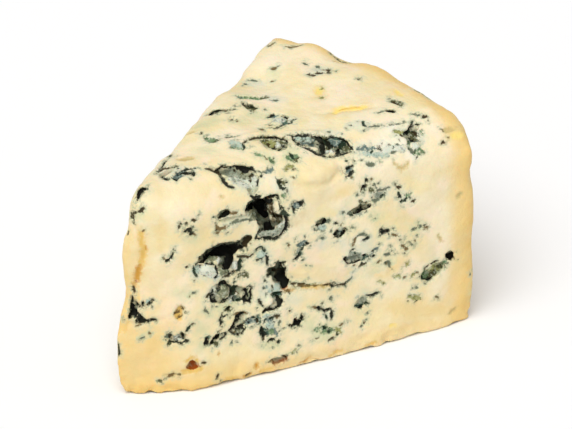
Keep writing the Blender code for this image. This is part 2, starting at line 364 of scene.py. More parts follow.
    (BLACK_MOULD_AND_SHADE, 0.4, (52.4, 13.4), (53.8, 13.8)),
    (BLACK_MOULD_AND_SHADE, 0.3, (51.6, 13), (51, 14.2)),
    (BLACK_MOULD_AND_SHADE, 0.3, (52.8, 13.4), (53.2, 14.8)),
    (BLACK_MOULD_AND_SHADE, 0.35, (52.2, 12.8), (52, 11.6)),
    (BLACK_MOULD_AND_SHADE, 0.3, (51.2, 12.6), (50.2, 12)),
    (UMBER, 0.3, (49.4, 12.8), (49.9, 12.7)),
    (UMBER, 0.3, (49.6, 16.8)),
    (BARK, 0.28, (55.7, 16.3), (57.4, 15.7)),
    (BLACK_MOULD_AND_SHADE, 0.4, (57.6, 15.6), (58.6, 14.8), (59.6, 14)),
    (BLACK_MOULD_AND_SHADE, 0.4, (59.6, 13.9), (60.4, 14.2), (61, 14.5)),
    (HAZE, 0.8, (60.5, 13)),
    (INK, 0.28, (61.6, 13.8), (61.3, 12.6), (61.3, 11.6)),
    (PINE, 0.28, (59.8, 13.2), (60, 12.2)),
    # Green smears low down
    (SAGE, 2.2, (57.5, 8.4), (62.5, 8)),
    (MOSS, 0.8, (58.6, 9), (60.2, 8.6)),
    (MOSS, 0.5, (61, 9), (61.2, 8)),
    (PINE, 0.45, (59, 9.3), (59.6, 8.9)),
    (PINE, 0.3, (60.3, 8.6), (60.5, 7.9)),
    (LICHEN, 0.6, (62.6, 8.2), (63, 7.4)),
    (OLIVE, 0.35, (62.5, 7.2), (62.9, 7.2)),
    (MOSS, 0.35, (56.6, 9.3), (57.5, 9.6)),
    (BARK, 0.3, (56.6, 6.6), (57.6, 6.9)),
    (UMBER, 0.3, (60.4, 5.5), (61.6, 6.1)),
    (BARK, 0.3, (63.4, 9), (64.4, 9.4)),
    # Blue oval and the holes right of the deep pocket
    (SLATE, 1.1, (51.5, 46.4), (52.4, 46.6)),
    (INK, 0.22, (50.5, 46.8), (51.2, 47.5), (53.2, 47.4)),
    (INK, 0.35, (53.3, 47.4), (53.1, 46.2)),
    (INK, 0.25, (50.5, 46.6), (51, 45.4), (52.4, 45.4)),
    (BARK, 0.3, (51.9, 53.6)),
    (PINE, 0.4, (49.2, 51.6)),
    (MOSS, 0.4, (48.4, 50.2)),
    (MINT, 0.9, (57.9, 38.9), (59, 38.6)),
    (BLACK_MOULD_AND_SHADE, 0.75, (58.4, 40.5), (58.9, 40.3)),
    (INK, 0.4, (57.2, 40), (57.9, 40.2)),
    (SMOKE, 0.4, (59.8, 40), (60.6, 40.2)),
    (SMOKE, 0.22, (56.5, 39.4), (56.7, 38.4), (58, 37.9), (59.2, 37.8)),
    (SMOKE, 0.3, (58.2, 36.1), (59, 35.5)),
    (INK, 0.3, (62.4, 39), (63, 38.9)),
    (MINT, 0.5, (63.4, 36.6)),
    (BLACK_MOULD_AND_SHADE, 0.5, (62.2, 36.2), (62.8, 36.8)),
    (BLACK_MOULD_AND_SHADE, 0.5, (62.7, 35.6), (63.3, 35.2), (63.9, 35.8), (64.8, 36.4)),
    (BARK, 0.35, (49.1, 36)),
    (HAZE, 0.8, (58.4, 34.2)),
    (SAGE, 0.9, (72.4, 38.8), (74, 38)),
    (SMOKE, 0.12, (72, 38.6), (73.2, 38.2)),
    (SMOKE, 0.12, (66, 37), (67.4, 36.6)),
    (HAZE, 0.9, (64, 33.4), (64.4, 31.4)),
    (HAZE, 0.8, (66.8, 22.6), (67.2, 24.4)),
    (SMOKE, 0.1, (66.6, 21.6), (67, 23.6), (68, 24.8)),
    (SAGE, 1.2, (72, 22), (75, 22.6)),
    (SMOKE, 0.12, (54, 29), (55.6, 28.6)),
    (FAWN, 0.5, (50.4, 42.6), (52.2, 41.8)),
    (FAWN, 0.4, (53, 44), (53.8, 42.8)),
    (SAGE, 1.4, (54, 12), (56, 10)),
    (HAZE, 1, (50, 20), (52, 19.4)),
    (SAGE, 1.6, (30, 22), (33, 22.4)),
    (SAGE, 1.4, (24, 19), (26.4, 17.4)),
    (SAGE, 1.2, (20, 29), (23, 28)),
    (SMOKE, 0.3, (24, 28.4)),
    # Wavy blue vein
    (SLATE, 0.7, (52.6, 35.4), (54, 35.4)),
    (ASH, 0.6, (52, 34.2), (52.6, 33)),
    (INK, 0.35, (55, 35.1), (54, 35)),
    (PINE, 0.25, (53.8, 34.8), (52.8, 33.8), (52.3, 32.6)),
    (INK, 0.28, (52.3, 32.6), (51.6, 31.6), (50.8, 31)),
    (SMOKE, 0.3, (51.3, 34.2), (51.4, 33.4)),
    (SMOKE, 0.3, (53.2, 30.9)),
    # Curl of pale mould, black lens and flecks near the top edge
    (HAZE, 1.7, (73, 44.6), (76, 44.8)),
    (ASH, 1, (73.6, 43.9), (74.8, 44.2)),
    (SMOKE, 0.3, (72.9, 47.6), (73.3, 46), (75, 45.3), (77.2, 45.6)),
    (PINE, 0.3, (75.6, 44), (74.8, 42.9)),
    (SMOKE, 0.3, (74.8, 42.9), (73.2, 42.6), (71.6, 43)),
    (BLACK_MOULD_AND_SHADE, 0.55, (69.6, 47.2), (70.6, 47.6)),
    (UMBER, 0.35, (69.1, 46.7), (69.6, 47)),
    (INK, 0.3, (71, 49.4), (71, 48.6)),
    (OLIVE, 0.35, (71.5, 46.5), (72.2, 46), (72.3, 45.4)),
    (SMOKE, 0.3, (68.2, 46)),
    (OLIVE, 0.3, (69.2, 43.8)),
    (SAGE, 0.9, (65.2, 43.6), (66.2, 44.8)),
    (HAZE, 0.9, (64.2, 42.4), (64.6, 41.2)),
    (SMOKE, 0.4, (64.3, 41.4), (64.7, 42)),
    (SMOKE, 0.35, (65.7, 41), (66.4, 41.4)),
    (BLACK_MOULD_AND_SHADE, 0.55, (67.5, 41.2), (68.6, 41.8), (69.6, 41.8)),
    (BLACK_MOULD_AND_SHADE, 0.35, (68.8, 42.2), (69.3, 42.9)),
    (BLACK_MOULD_AND_SHADE, 0.28, (69.8, 41.6), (71.4, 41.6), (72, 41.5)),
    (ASH, 0.4, (67.8, 40.4), (69.4, 40.6)),
    (UMBER, 0.35, (79.6, 45.3), (80, 45)),
    (INK, 0.45, (79.7, 42.6), (80.4, 42.3)),
    (PINE, 0.3, (79.8, 43.8), (79.7, 42.8)),
    (PINE, 0.4, (80.9, 40.6), (81.8, 41.4)),
    (MOSS, 0.35, (82, 41.9), (82.6, 42.4)),
    (UMBER, 0.35, (83.4, 40.3), (84.2, 40.3)),
    (PINE, 0.3, (80, 40.6), (80.4, 41)),
    (HAZE, 1.3, (80.5, 41.8), (81.5, 41.6)),
    # Brown-rimmed white ring, black notch and the long blue crescent
    (MILK, 0.7, (69, 33.2), (69.2, 31.8)),
    (HAZE, 1.8, (70, 31.6), (71.6, 31)),
    (BARK, 0.28, (67.8, 33.9), (67.1, 32.4), (67, 31)),
    (SMOKE, 0.25, (68.4, 34.2), (70, 34.2), (70.9, 33.6)),
    (INK, 0.4, (69.8, 32.2), (70.6, 32.6), (71.2, 33)),
    (INK, 0.4, (74.8, 34.6), (75.4, 33.6), (76.8, 33.5)),
    (BLACK_MOULD_AND_SHADE, 0.35, (75.2, 33), (76.4, 32.8), (77, 33.2)),
    (SMOKE, 0.35, (74.6, 32.8)),
    (BARK, 0.35, (78, 32.2), (79.2, 31.4)),
    (UMBER, 0.35, (80.2, 29.9)),
    (BARK, 0.35, (80.8, 28.2), (81.6, 27.2), (81.9, 26.6)),
    (HAZE, 1.6, (66, 29), (69.6, 28.8), (73, 28.2)),
    (ASH, 0.8, (66.2, 28.8), (68.4, 28.4)),
    (TEAL, 0.55, (69.4, 27), (71, 27.4)),
    (BLACK_MOULD_AND_SHADE, 0.55, (64.6, 28.3), (65.4, 28)),
    (BLACK_MOULD_AND_SHADE, 0.4, (65.2, 27.5), (66.2, 26.9), (68.2, 27), (69.6, 27.4)),
    (INK, 0.35, (69.6, 27.5), (71.2, 28)),
    (SLATE, 0.35, (72, 27.6), (72.8, 28.6), (74, 29.2)),
    (INK, 0.35, (72.4, 26.7), (73, 26.7)),
    (INK, 0.25, (66.3, 29.9), (67.4, 30.1)),
    (UMBER, 0.28, (68.8, 24.6), (69.6, 25.1), (70.6, 25.2)),
    (BARK, 0.28, (74, 24.9), (75, 24.8)),
    (SMOKE, 0.4, (77, 24.6), (77.4, 23.4), (77.5, 22)),
    (SAGE, 1.2, (77.5, 23.4), (79.2, 23)),
    (SMOKE, 0.25, (76, 26.6), (77.4, 26.6)),
    # Diagonal blue-green blob low on the right
    (HAZE, 1.2, (69.8, 15.4), (71.4, 16)),
    (ASH, 0.8, (69.4, 14.4), (70.8, 14.6)),
    (TEAL, 0.6, (68.4, 13.3), (69.8, 13.4)),
    (BLACK_MOULD_AND_SHADE, 0.45, (69, 12.8), (69.8, 12.8)),
    (PINE, 0.35, (70.4, 13.6), (71.6, 13.2)),
    (INK, 0.35, (71.6, 15.2), (73, 15.3), (74.4, 15.6)),
    (SMOKE, 0.35, (71.5, 10.6)),
    (UMBER, 0.35, (70.7, 7.4), (70.9, 8)),
    (SMOKE, 0.4, (61.2, 17.3)),
    (BUTTER, 0.5, (77.6, 5), (79, 5)),
    # Warm, oily paste towards the rind and along the foot
    (STRAW, 2.6, (78, 11), (84, 8), (92, 6)),
    (STRAW, 1.6, (94, 8), (97, 14), (97.6, 24), (97, 36)),
    (STRAW, 1.2, (70, 3), (80, 3.2), (90, 2.6)),
    (STRAW, 1.2, (24, 4), (34, 2.4), (44, 2.6)),
    (STRAW, 1, (63, 47.2), (66.4, 47.8)),
    (STRAW, 1.2, (73, 22), (76, 20), (81, 24)),
    (STRAW, 0.7, (16.2, 49.4), (16.4, 46), (16, 42.4)),
    (FAWN, 0.25, (46, 2), (56, 2.2), (66, 1.8), (80, 2)),
    (HONEY, 0.35, (31, 0.8), (33.6, 1.4), (35.6, 0.6)),
    (AMBER, 0.3, (36.8, 0.9), (38.6, 1.3)),
    (HONEY, 0.4, (41.6, 1.2), (44.4, 1.6)),
    (AMBER, 0.3, (52.6, 0.8), (55.4, 1.2)),
    (HONEY, 0.4, (60.4, 1), (64.6, 1.6)),
    (HONEY, 0.4, (71, 1), (73.6, 1.4)),
    (UMBER, 0.2, (37.4, 0.8), (38.2, 1.6)),
    (BARK, 0.25, (43, 3.6), (44.2, 4.2), (45.8, 4)),
    (BARK, 0.2, (17, 4.6), (18.6, 5.6), (20.2, 5.2)),
    (SMOKE, 0.1, (77.4, 29), (77.8, 27.4), (79.2, 26.2)),
    (SMOKE, 0.12, (82.6, 28.6), (84, 27.2)),
    (LICHEN, 0.2, (79, 19.6), (80.6, 19)),
    (LICHEN, 0.15, (74.6, 19), (76, 18.2)),
    (LICHEN, 0.2, (81.4, 21.6), (82.6, 22.4)),
    # Greenish hollow near the rind, with a black notch above it
    (SAGE, 1.6, (88, 17.6), (91.6, 19)),
    (LICHEN, 1.2, (89.6, 18.2), (91.2, 18.4)),
    (MOSS, 0.8, (87.4, 18.2), (88.2, 17.2)),
    (OLIVE, 1, (88.8, 17.2), (90.2, 18), (91.6, 18.8)),
    (UMBER, 0.28, (87.4, 19.2), (88.8, 20.2), (90.6, 20.5), (91.8, 20.1)),
    (BLACK_MOULD_AND_SHADE, 0.6, (88, 16.8), (88.8, 16.6), (89.2, 15.8)),
    (PINE, 0.35, (86.4, 18), (86.7, 16.8), (87.6, 16.6)),
    (BLACK_MOULD_AND_SHADE, 0.8, (94, 21.9), (95, 21.8)),
    (BLACK_MOULD_AND_SHADE, 0.5, (94.9, 21.4), (95.4, 20.2)),
    (MOSS, 0.4, (92.6, 19.4), (93.8, 20.4)),
    (BARK, 0.3, (85, 18.9), (85.6, 18.9)),
    (LICHEN, 0.4, (83.9, 18.6)),
    (BARK, 0.25, (81.6, 18.7)),
    (LICHEN, 0.4, (83, 12.2), (84.8, 11.6), (86.4, 10.6)),
    (SMOKE, 0.3, (85.2, 14.5)),
    (BARK, 0.25, (91, 10.2), (91.6, 9.2)),
    (SAGE, 0.9, (85.2, 33.6), (85.8, 31.6)),
    (SMOKE, 0.3, (85.2, 33.2), (85.9, 32.2)),
    (SMOKE, 0.35, (83.4, 31.8), (84.2, 32.2)),
    (BARK, 0.35, (86.8, 31.4), (87.6, 31.8)),
    (SMOKE, 0.3, (85, 30)),
    (TAN, 0.3, (90.8, 28.8), (91.2, 27.2), (92.2, 26.4)),
    (TAN, 0.5, (95.6, 3.8), (96.8, 4.8)),
    (TAN, 0.6, (96.2, 38.4), (97.2, 39)),
    # Small marks left of the middle
    (SAGE, 1, (26.6, 22.4), (28.6, 21)),
    (SMOKE, 0.3, (26.4, 22.8), (27.6, 21.6)),
    (INK, 0.22, (31.2, 20.4), (30.8, 18.8), (31.2, 17.2), (31.6, 18.8)),
    (INK, 0.4, (31.6, 19.6), (32.4, 19.8)),
    (OLIVE, 0.5, (32.2, 21.4), (33.6, 21.8)),
    (INK, 0.3, (32.2, 21.4), (33.4, 22)),
    (BARK, 0.3, (33.6, 19.2), (35.4, 19.9), (38, 19.2)),
    (BLACK_MOULD_AND_SHADE, 0.45, (36.8, 19.4), (35.6, 18.8), (35, 17.2)),
    (BLACK_MOULD_AND_SHADE, 0.5, (35, 17.2), (34.2, 16), (33.2, 15)),
    (STONE, 0.6, (34.6, 14.4), (36, 14.3)),
    (INK, 0.3, (33.6, 14.6), (34.6, 13.5), (36.4, 13.8), (37.2, 14.6)),
    (INK, 0.3, (34.4, 15.4), (36.2, 15.4), (37, 14.8)),
    (BLACK_MOULD_AND_SHADE, 0.45, (35.6, 15.9), (36.8, 15.8), (38, 16.8)),
    (SLATE, 0.6, (38, 16.4), (39.4, 16.6), (40.4, 15.8)),
    (PINE, 0.25, (37.8, 17.2), (39.2, 17.5), (40.6, 16.6)),
    (UMBER, 0.3, (40.8, 15.8)),
    (BLACK_MOULD_AND_SHADE, 0.65, (29.2, 14.2), (30.2, 14.4)),
    (INK, 0.4, (28.8, 14), (28.6, 12.4)),
    (OLIVE, 0.5, (29.3, 12.8), (29.5, 11.8)),
    (BLACK_MOULD_AND_SHADE, 0.28, (30.2, 15.4), (30.8, 15.9)),
    (INK, 0.28, (31, 14.8), (32.2, 14.9), (31.9, 13.8), (30.8, 13.2)),
    (BLACK_MOULD_AND_SHADE, 0.75, (26.9, 14), (27, 12.8)),
    (TEAL, 0.35, (26.4, 14.8), (27.4, 15)),
    (SAGE, 1, (24.8, 13.6), (25.4, 12.4)),
    (FROST, 0.7, (19.3, 16.2), (20.3, 15.6)),
    (SMOKE, 0.4, (16.8, 16.6), (17.6, 17.4)),
    (INK, 0.4, (17.6, 16.8), (18.4, 16.4)),
    (INK, 0.3, (18, 15.6), (19.4, 15), (20.8, 14.4)),
    (BLACK_MOULD_AND_SHADE, 0.4, (20.7, 16.9), (20.9, 15.6)),
    (INK, 0.35, (21, 14.4), (22, 14.8), (21.6, 15.3)),
    (PINE, 0.35, (21.8, 17.7), (22.6, 18.8)),
    (UMBER, 0.32, (23.3, 19.4), (23.9, 19.6)),
    (OLIVE, 0.35, (17.9, 15.2), (18, 14)),
    (HONEY, 0.9, (20.4, 24.4), (19.8, 22.4), (20.4, 21.2)),
    (AMBER, 0.5, (20.6, 24.6), (20, 23.6), (20.6, 22.6)),
    (AMBER, 0.4, (19.5, 22), (20.4, 21.2)),
    (BARK, 0.3, (19.6, 23.8), (20, 23.4)),
    (UMBER, 0.22, (20.8, 24.8), (21, 24)),
    (BARK, 0.3, (21, 22.4), (19.6, 21.8)),
    (RUST, 1, (22.4, 7), (24.2, 7)),
    (RUST, 0.7, (23, 7.4), (23.2, 8.8)),
    (HONEY, 0.9, (21.2, 6), (25.4, 6.2)),
    (HONEY, 0.6, (21.8, 8.8), (23.2, 9.8), (24.6, 8.6)),
    (STRAW, 1.2, (19, 6), (27, 6.4)),
    (UMBER, 0.32, (25.8, 7.8), (26.8, 7.9)),
    (AMBER, 0.45, (30.2, 9.6), (30.3, 8.6)),
    (SMOKE, 0.35, (33.9, 11.9)),
    (TAN, 0.4, (16.4, 5.4), (19.6, 5.2)),
    (OLIVE, 0.3, (15.3, 3.4), (15.6, 3.8)),
    (UMBER, 0.4, (29.2, 2.4), (30, 3.4)),
    (RUST, 0.6, (45, 3.2), (48, 3.2)),
    (UMBER, 0.3, (47.4, 4.4), (48.2, 3.6)),
    (AMBER, 0.5, (40.3, 3.6), (40.4, 2.6)),
    (LICHEN, 0.3, (50.4, 5), (51.2, 5.3)),
    # Tan line along the crease under the slumped lip: painted shade beneath the fold
    (FAWN, 0.45, (53.5, 51.4), (57, 50.6), (61, 50.7), (64, 52.6)),
    (FAWN, 0.3, (58, 50.6), (58.4, 48.8)),
    (TAN, 0.35, (32.2, 53)),
    (SMOKE, 0.3, (101, 14)),
)

TOP_MARKS = strokes(
    # Open crevice on the slumped edge
    (HAZE, 1.6, (37, 4.6), (40, 2.8), (42.6, 2.2)),
    (ASH, 1.2, (35.6, 6.6), (38, 5.4)),
    (FROST, 1.1, (36, 5), (38.2, 4), (40.4, 2.4)),
    (FROST, 0.8, (41.8, 4.2), (41.2, 2.6)),
    (OLIVE, 0.5, (38.6, 5.4), (39.8, 4.8)),
    (BLACK_MOULD_AND_SHADE, 0.9, (38.8, 6.9), (40.4, 6.2), (41.8, 6.2)),
    (BLACK_MOULD_AND_SHADE, 0.5, (36.8, 7.6), (38.4, 7.4), (40.4, 7.2), (42.6, 6.5)),
    (UMBER, 0.3, (34.8, 8.3), (36.8, 7.8)),
    (INK, 0.28, (33.4, 8), (34.6, 8.3), (35.3, 8.8)),
    (UMBER, 0.4, (31.3, 9.3), (32.6, 7.9), (33.8, 6.8)),
    (INK, 0.33, (33.8, 6.8), (34, 4.9), (34.8, 3.5), (35.8, 3)),
    (INK, 0.25, (42.8, 6.2), (42.8, 4.6), (42.3, 3.2), (41.4, 2.2)),
    (UMBER, 0.22, (40.2, 4.4), (41.6, 4.6), (42.7, 4.3)),
    (UMBER, 0.35, (40.5, 3.7)),
    (UMBER, 0.3, (37.6, 6.2), (37.7, 6.6)),
    (INK, 0.35, (39.4, 1.5), (40.4, 0.9)),
    (INK, 0.45, (40.5, 0.9), (42, 0.9)),
    (MILK, 0.8, (45.6, 3.6), (46.4, 1.8)),
    (SMOKE, 0.35, (43.6, 5), (45.2, 5)),
    (SLATE, 0.4, (45.4, 4.9), (47.6, 5.4)),
    (INK, 0.28, (43.9, 4.2)),
    (PINE, 0.45, (47.8, 2.6), (47.6, 1.4)),
    (OLIVE, 0.45, (48.2, 2.2), (49, 1.6)),
    (INK, 0.3, (49.8, 2)),
    (INK, 0.28, (48.4, 1), (47.8, 0.2)),
    (HAZE, 1, (49, 1.2)),
    # Blue-grey fork near the tip and the cracks on the far edge
    (HAZE, 1.4, (24, 10.6), (27, 9.8)),
    (SLATE, 0.7, (23, 9.2), (25.6, 10.2)),
    (INK, 0.3, (22.4, 9.2), (22.9, 8.5), (23.6, 9)),
    (INK, 0.38, (24.4, 9.8), (26, 9.6), (27.6, 8.9)),
    (INK, 0.35, (25.4, 10.7), (27.2, 10.9), (28.8, 10.6)),
    (INK, 0.3, (27.6, 9), (27.4, 8)),
    (INK, 0.28, (20, 10), (21, 9.3)),
    (UMBER, 0.3, (19.3, 12.8), (21.4, 13.3), (24, 12.9), (25, 12.8)),
    (INK, 0.2, (19.3, 12.8), (21.2, 14.2), (23, 16), (25, 18.2)),
    (BLACK_MOULD_AND_SHADE, 0.45, (25.6, 19.2), (26.6, 20.3)),
    (BLACK_MOULD_AND_SHADE, 0.7, (13.9, 8.2), (13, 8), (12.4, 7.3)),
    (INK, 0.4, (12.6, 7.8), (11.6, 6.9)),
    (SMOKE, 0.2, (14.4, 8), (15.4, 7.4)),
    (UMBER, 0.35, (36.8, 24.6)),
    (MOSS, 0.45, (37, 22.6), (37.4, 20.6), (38.6, 19.4)),
    (OLIVE, 0.3, (37, 22.4), (37, 21.6)),
    (OLIVE, 0.35, (37.8, 19.4), (39, 19.4)),
    (MINT, 1.2, (41.6, 16.4), (42.8, 14.4)),
    (MOSS, 0.5, (41.2, 15), (42.6, 13.6)),
    (UMBER, 0.4, (42, 19.6), (42.4, 19.4)),
    (SMOKE, 0.4, (42.6, 19.4), (44.2, 18.8)),
    (PINE, 0.3, (44, 15.4), (43.4, 13.6), (42.6, 12.8)),
    # Arched pit: black brow of near-black mould and painted shade, speckled green floor
    (UMBER, 0.3, (44.2, 15.4), (45.6, 16.2), (47.6, 16.6), (49.6, 16.7)),
    (LICHEN, 1.2, (49.6, 13.8), (51.8, 12)),
    (FROST, 0.8, (51.2, 12.8), (52.4, 11.4)),
    (OLIVE, 0.7, (53.4, 13.2), (54.2, 12.2)),
    (BLACK_MOULD_AND_SHADE, 0.5, (49.4, 16.6), (51.4, 16.2), (53.4, 15.2)),
    (BLACK_MOULD_AND_SHADE, 0.6, (50.6, 15.4), (52, 14.8)),
    (INK, 0.35, (53.4, 15.2), (54.4, 13.8), (54.6, 12.6)),
    (OLIVE, 0.5, (48.8, 14.4), (50.2, 14.6)),
    (INK, 0.45, (50.2, 11.6), (50.7, 11.2)),
    (INK, 0.38, (51.4, 10), (52, 10.4)),
    (INK, 0.38, (53, 11.2)),
    (UMBER, 0.25, (49.8, 13.6), (50, 12.2)),
    (UMBER, 0.22, (51.6, 13.8), (52.2, 13.4)),
    (MOSS, 0.4, (45.2, 9.8), (46.4, 9.6)),
    (MOSS, 0.4, (48, 7.8), (48.4, 6.8)),
    (SAGE, 1.5, (45.6, 9.4), (48.6, 7.6)),
    # Leaf-shaped crevice
    (MINT, 1.5, (58, 13), (60.6, 11.4)),
    (SLATE, 0.6, (57.6, 11.4), (60.4, 9.4)),
    (FROST, 0.5, (59, 12.8), (60.8, 11.8)),
    (SLATE, 1.4, (65.2, 9.6), (67.2, 7.8)),
    (TEAL, 0.8, (65.8, 9.8), (67.6, 8.8)),
    (FROST, 0.5, (63, 6.4), (64.6, 6.6)),
    (INK, 0.8, (62.4, 11.2), (62.6, 8.6), (61.8, 6.8)),
    (OLIVE, 0.9, (64, 11.2), (64.6, 9), (63.8, 7.4)),
    (PINE, 0.6, (63.4, 10.6), (63.6, 8.6)),
    (PINE, 0.45, (65.4, 7.4), (66.8, 6.6), (68.2, 7.4)),
    (PINE, 0.3, (66.4, 7.4), (67.8, 7.6)),
    (BLACK_MOULD_AND_SHADE, 0.5, (61.6, 12), (63.2, 12), (62.6, 10.4)),
    (BLACK_MOULD_AND_SHADE, 0.5, (61.6, 9.2), (62.8, 8.4), (61.6, 6.8)),
    (INK, 0.35, (57, 14.2), (58.8, 14.6), (60.6, 13.6), (62.4, 12.6)),
    (INK, 0.3, (57, 14.2), (56.6, 12.2), (57.2, 11)),
    (INK, 0.3, (56.8, 10.8), (58.6, 8.6), (60.6, 6.6), (62.2, 5.6)),
    (INK, 0.5, (64, 9.8), (64.6, 8.2), (64, 7.4)),
    (INK, 0.35, (64.2, 10), (65.6, 10.4), (67.4, 10.4)),
    (OLIVE, 0.6, (67, 6.8), (68.6, 6.2)),
    (INK, 0.4, (67.4, 10.2), (68.4, 8), (69.6, 5.8)),
    (INK, 0.5, (65, 5.6), (66, 6.2)),
    (INK, 0.28, (62.4, 5.4), (64.4, 5), (67, 5.4), (69.4, 5.4)),
    (SMOKE, 0.3, (58.4, 12.2), (59.4, 11.6)),
    (INK, 0.3, (58.8, 13.4), (59.4, 12.8)),
    (HAZE, 1.3, (65.8, 12.2), (68.2, 11)),
    (SMOKE, 0.35, (66.2, 12.3)),
    # Green star before the leaf
    (SAGE, 1.6, (51.8, 7.6), (55, 7.4)),
    (MOSS, 0.8, (52.6, 7.2), (54.6, 6.8)),
    (PINE, 0.4, (53.4, 8.2), (53.8, 6.8)),
    (OLIVE, 0.35, (53.6, 6.2), (55.2, 6.4)),
    (LICHEN, 0.3, (50.6, 4.6), (52.4, 5.2)),
    # White and blue mould along the edge right of the leaf
    (HAZE, 1.7, (70.6, 5.4), (74, 4.6), (77, 3.4)),
    (MILK, 2.2, (75.6, 4.6), (79.4, 4.8), (82.2, 3.8)),
    (MILK, 1.5, (80, 7.6), (83, 8.4)),
    (FROST, 0.8, (76.2, 3.2), (79, 3.6), (82, 2.8)),
    (SLATE, 0.35, (70.8, 5.3), (73.4, 5.2), (75.2, 4.9)),
    (MINT, 0.5, (71.6, 4.2), (74.8, 3.2), (77.6, 2.4)),
    (BLACK_MOULD_AND_SHADE, 0.28, (76.3, 4.9), (76.8, 4)),
    (SMOKE, 0.3, (78.6, 2.6), (80, 2.4)),
    (UMBER, 0.22, (79.3, 4.6), (79.7, 4.6)),
    (SMOKE, 0.25, (80.8, 4.6), (81.4, 3.6)),
    (MILK, 1.4, (83.4, 2.6), (84.2, 1.4)),
    (HAZE, 1.6, (80.6, 6.6), (84, 7.4)),
    (LICHEN, 0.4, (82.2, 7.2), (84.2, 6.4)),
    (UMBER, 0.3, (82.8, 6), (83.8, 5.8)),
    (BLACK_MOULD_AND_SHADE, 0.65, (84.6, 6.2), (85.4, 5.8)),
    (BLACK_MOULD_AND_SHADE, 0.5, (85.8, 6.4), (86.8, 7.4)),
    (INK, 0.4, (86.9, 7.6), (87.4, 8.4)),
    (INK, 0.3, (88, 7.8), (88.8, 7.6)),
    (OLIVE, 0.8, (86, 5.2), (86.4, 4.2)),
    (BLACK_MOULD_AND_SHADE, 0.4, (84.9, 5), (85, 4)),
    (UMBER, 0.4, (86.6, 5.6), (87.2, 4.8)),
    (FROST, 0.7, (85, 3), (86, 2.4)),
    (MOSS, 0.3, (84, 4), (84, 2.9)),
    (SMOKE, 0.35, (83.8, 2.8), (84.4, 1.8), (85.2, 1.8)),
    (MOSS, 0.3, (84.6, 1.6), (85.6, 1.4), (85.4, 2.1)),
    (SMOKE, 0.25, (87.2, 4.4), (86.8, 3)),
    (MOSS, 0.25, (86.4, 2), (87, 1.4)),
    (MOSS, 0.3, (88.6, 5.4), (88.9, 4.8)),
    (HAZE, 1, (87.8, 4)),
    # Slate cluster and green smears in the middle of the top
    (HAZE, 2, (57.6, 24), (59.6, 21.8)),
    (FROST, 0.9, (56.8, 23.4), (58.4, 22.6)),
    (SLATE, 0.8, (56.8, 25.8), (58.2, 26)),
    (INK, 0.4, (56.4, 25.6), (57.4, 26.8), (58.2, 26.6)),
    (BLACK_MOULD_AND_SHADE, 0.4, (59.2, 25.2), (60.2, 24.6), (59.6, 23.4)),
    (TEAL, 0.5, (58.8, 22.4), (57.8, 20.8)),
    (INK, 0.32, (54.6, 19.8), (56.6, 20), (57.8, 21)),
    (INK, 0.32, (58.4, 20.6), (59.8, 20.4)),
    (PINE, 0.25, (59.4, 20.6), (60.6, 21.8), (61.6, 22.2)),
    (BARK, 0.35, (54.4, 22), (54.3, 21.6)),
    (BARK, 0.4, (51.4, 20.5), (52, 20.3)),
    (SAGE, 1.4, (53, 38.2), (56, 37)),
    (TEAL, 0.5, (53.2, 38.2), (54.6, 37.2)),
    (MOSS, 0.8, (54.4, 37.4), (56.6, 36.3), (58.2, 35.4)),
    (OLIVE, 0.35, (57.6, 35.7), (59.8, 35.2)),
    (SMOKE, 0.5, (61, 33.4), (61.6, 32.8)),
    (HAZE, 1.3, (61.2, 34), (62.2, 33.2)),
    (OLIVE, 1.1, (52.9, 33), (54.2, 31.2)),
    (INK, 0.3, (52.6, 34), (53.6, 32.8), (54.8, 30.8)),
    (BLACK_MOULD_AND_SHADE, 0.5, (53.4, 30), (53.9, 29.9)),
    (BLACK_MOULD_AND_SHADE, 0.8, (43, 33.8), (44.4, 33.4)),
    (BLACK_MOULD_AND_SHADE, 0.5, (44.4, 33.4), (46, 32.8)),
    (INK, 0.3, (46, 32.8), (48, 32.6), (49.6, 32.2)),
    (BLACK_MOULD_AND_SHADE, 0.5, (46.8, 28.4), (47.5, 27.8)),
    (BARK, 0.3, (47.8, 26.6)),
    (SAGE, 1.5, (47.6, 26.6), (50, 25.6)),
    (SMOKE, 0.3, (56.6, 29.6)),
    (HAZE, 1.4, (60.2, 46.4), (62.4, 44.8)),
    (SMOKE, 0.3, (58.6, 46.4), (59.6, 46)),
    (SMOKE, 0.25, (60.8, 47.6), (62.6, 46.4)),
    (BARK, 0.35, (67.4, 48.6), (68.6, 48.4)),
    (BARK, 0.25, (65.4, 44.6), (66, 44.4)),
    (SAGE, 1.3, (66.6, 47), (68, 46.4)),
    (HAZE, 1.7, (76.4, 41.8), (78.2, 41)),
    (UMBER, 0.4, (74.4, 41.2), (75.4, 39.8)),
    (UMBER, 0.35, (75.6, 40.6), (77.6, 39.8), (79.4, 39)),
    (SMOKE, 0.4, (77.4, 43.4), (78.2, 43.6)),
    (UMBER, 0.4, (78.4, 41.4), (79.6, 40.8), (79.4, 39.4)),
    (SMOKE, 0.3, (75.6, 46.4), (76, 45.6)),
    (BARK, 0.4, (74.8, 57), (76.6, 55), (78.8, 54.4)),
    (BARK, 0.35, (71.6, 59.2), (73, 59.4)),
    (UMBER, 0.3, (84.4, 32.9), (84.8, 32.5)),
    (BARK, 0.25, (85.4, 33.2)),
    (TAN, 0.4, (83.4, 45), (84.8, 44.2)),
    (UMBER, 0.5, (84.6, 49.2), (86.4, 47.4), (88.2, 45.8)),
    (SAGE, 2.2, (38, 29), (43, 29.5)),
    (SAGE, 1.6, (52, 28), (55, 26)),
    # Yellow oily crevice, black triangle and olive dashes towards the rind
    (STRAW, 1.8, (70, 19.8), (73.4, 20.8), (79.6, 18.8)),
    (BUTTER, 1.1, (71.8, 20.2), (73.4, 21.8), (75.4, 21), (77.6, 19.6)),
    (AMBER, 0.25, (74, 21.6), (75.8, 20.2)),
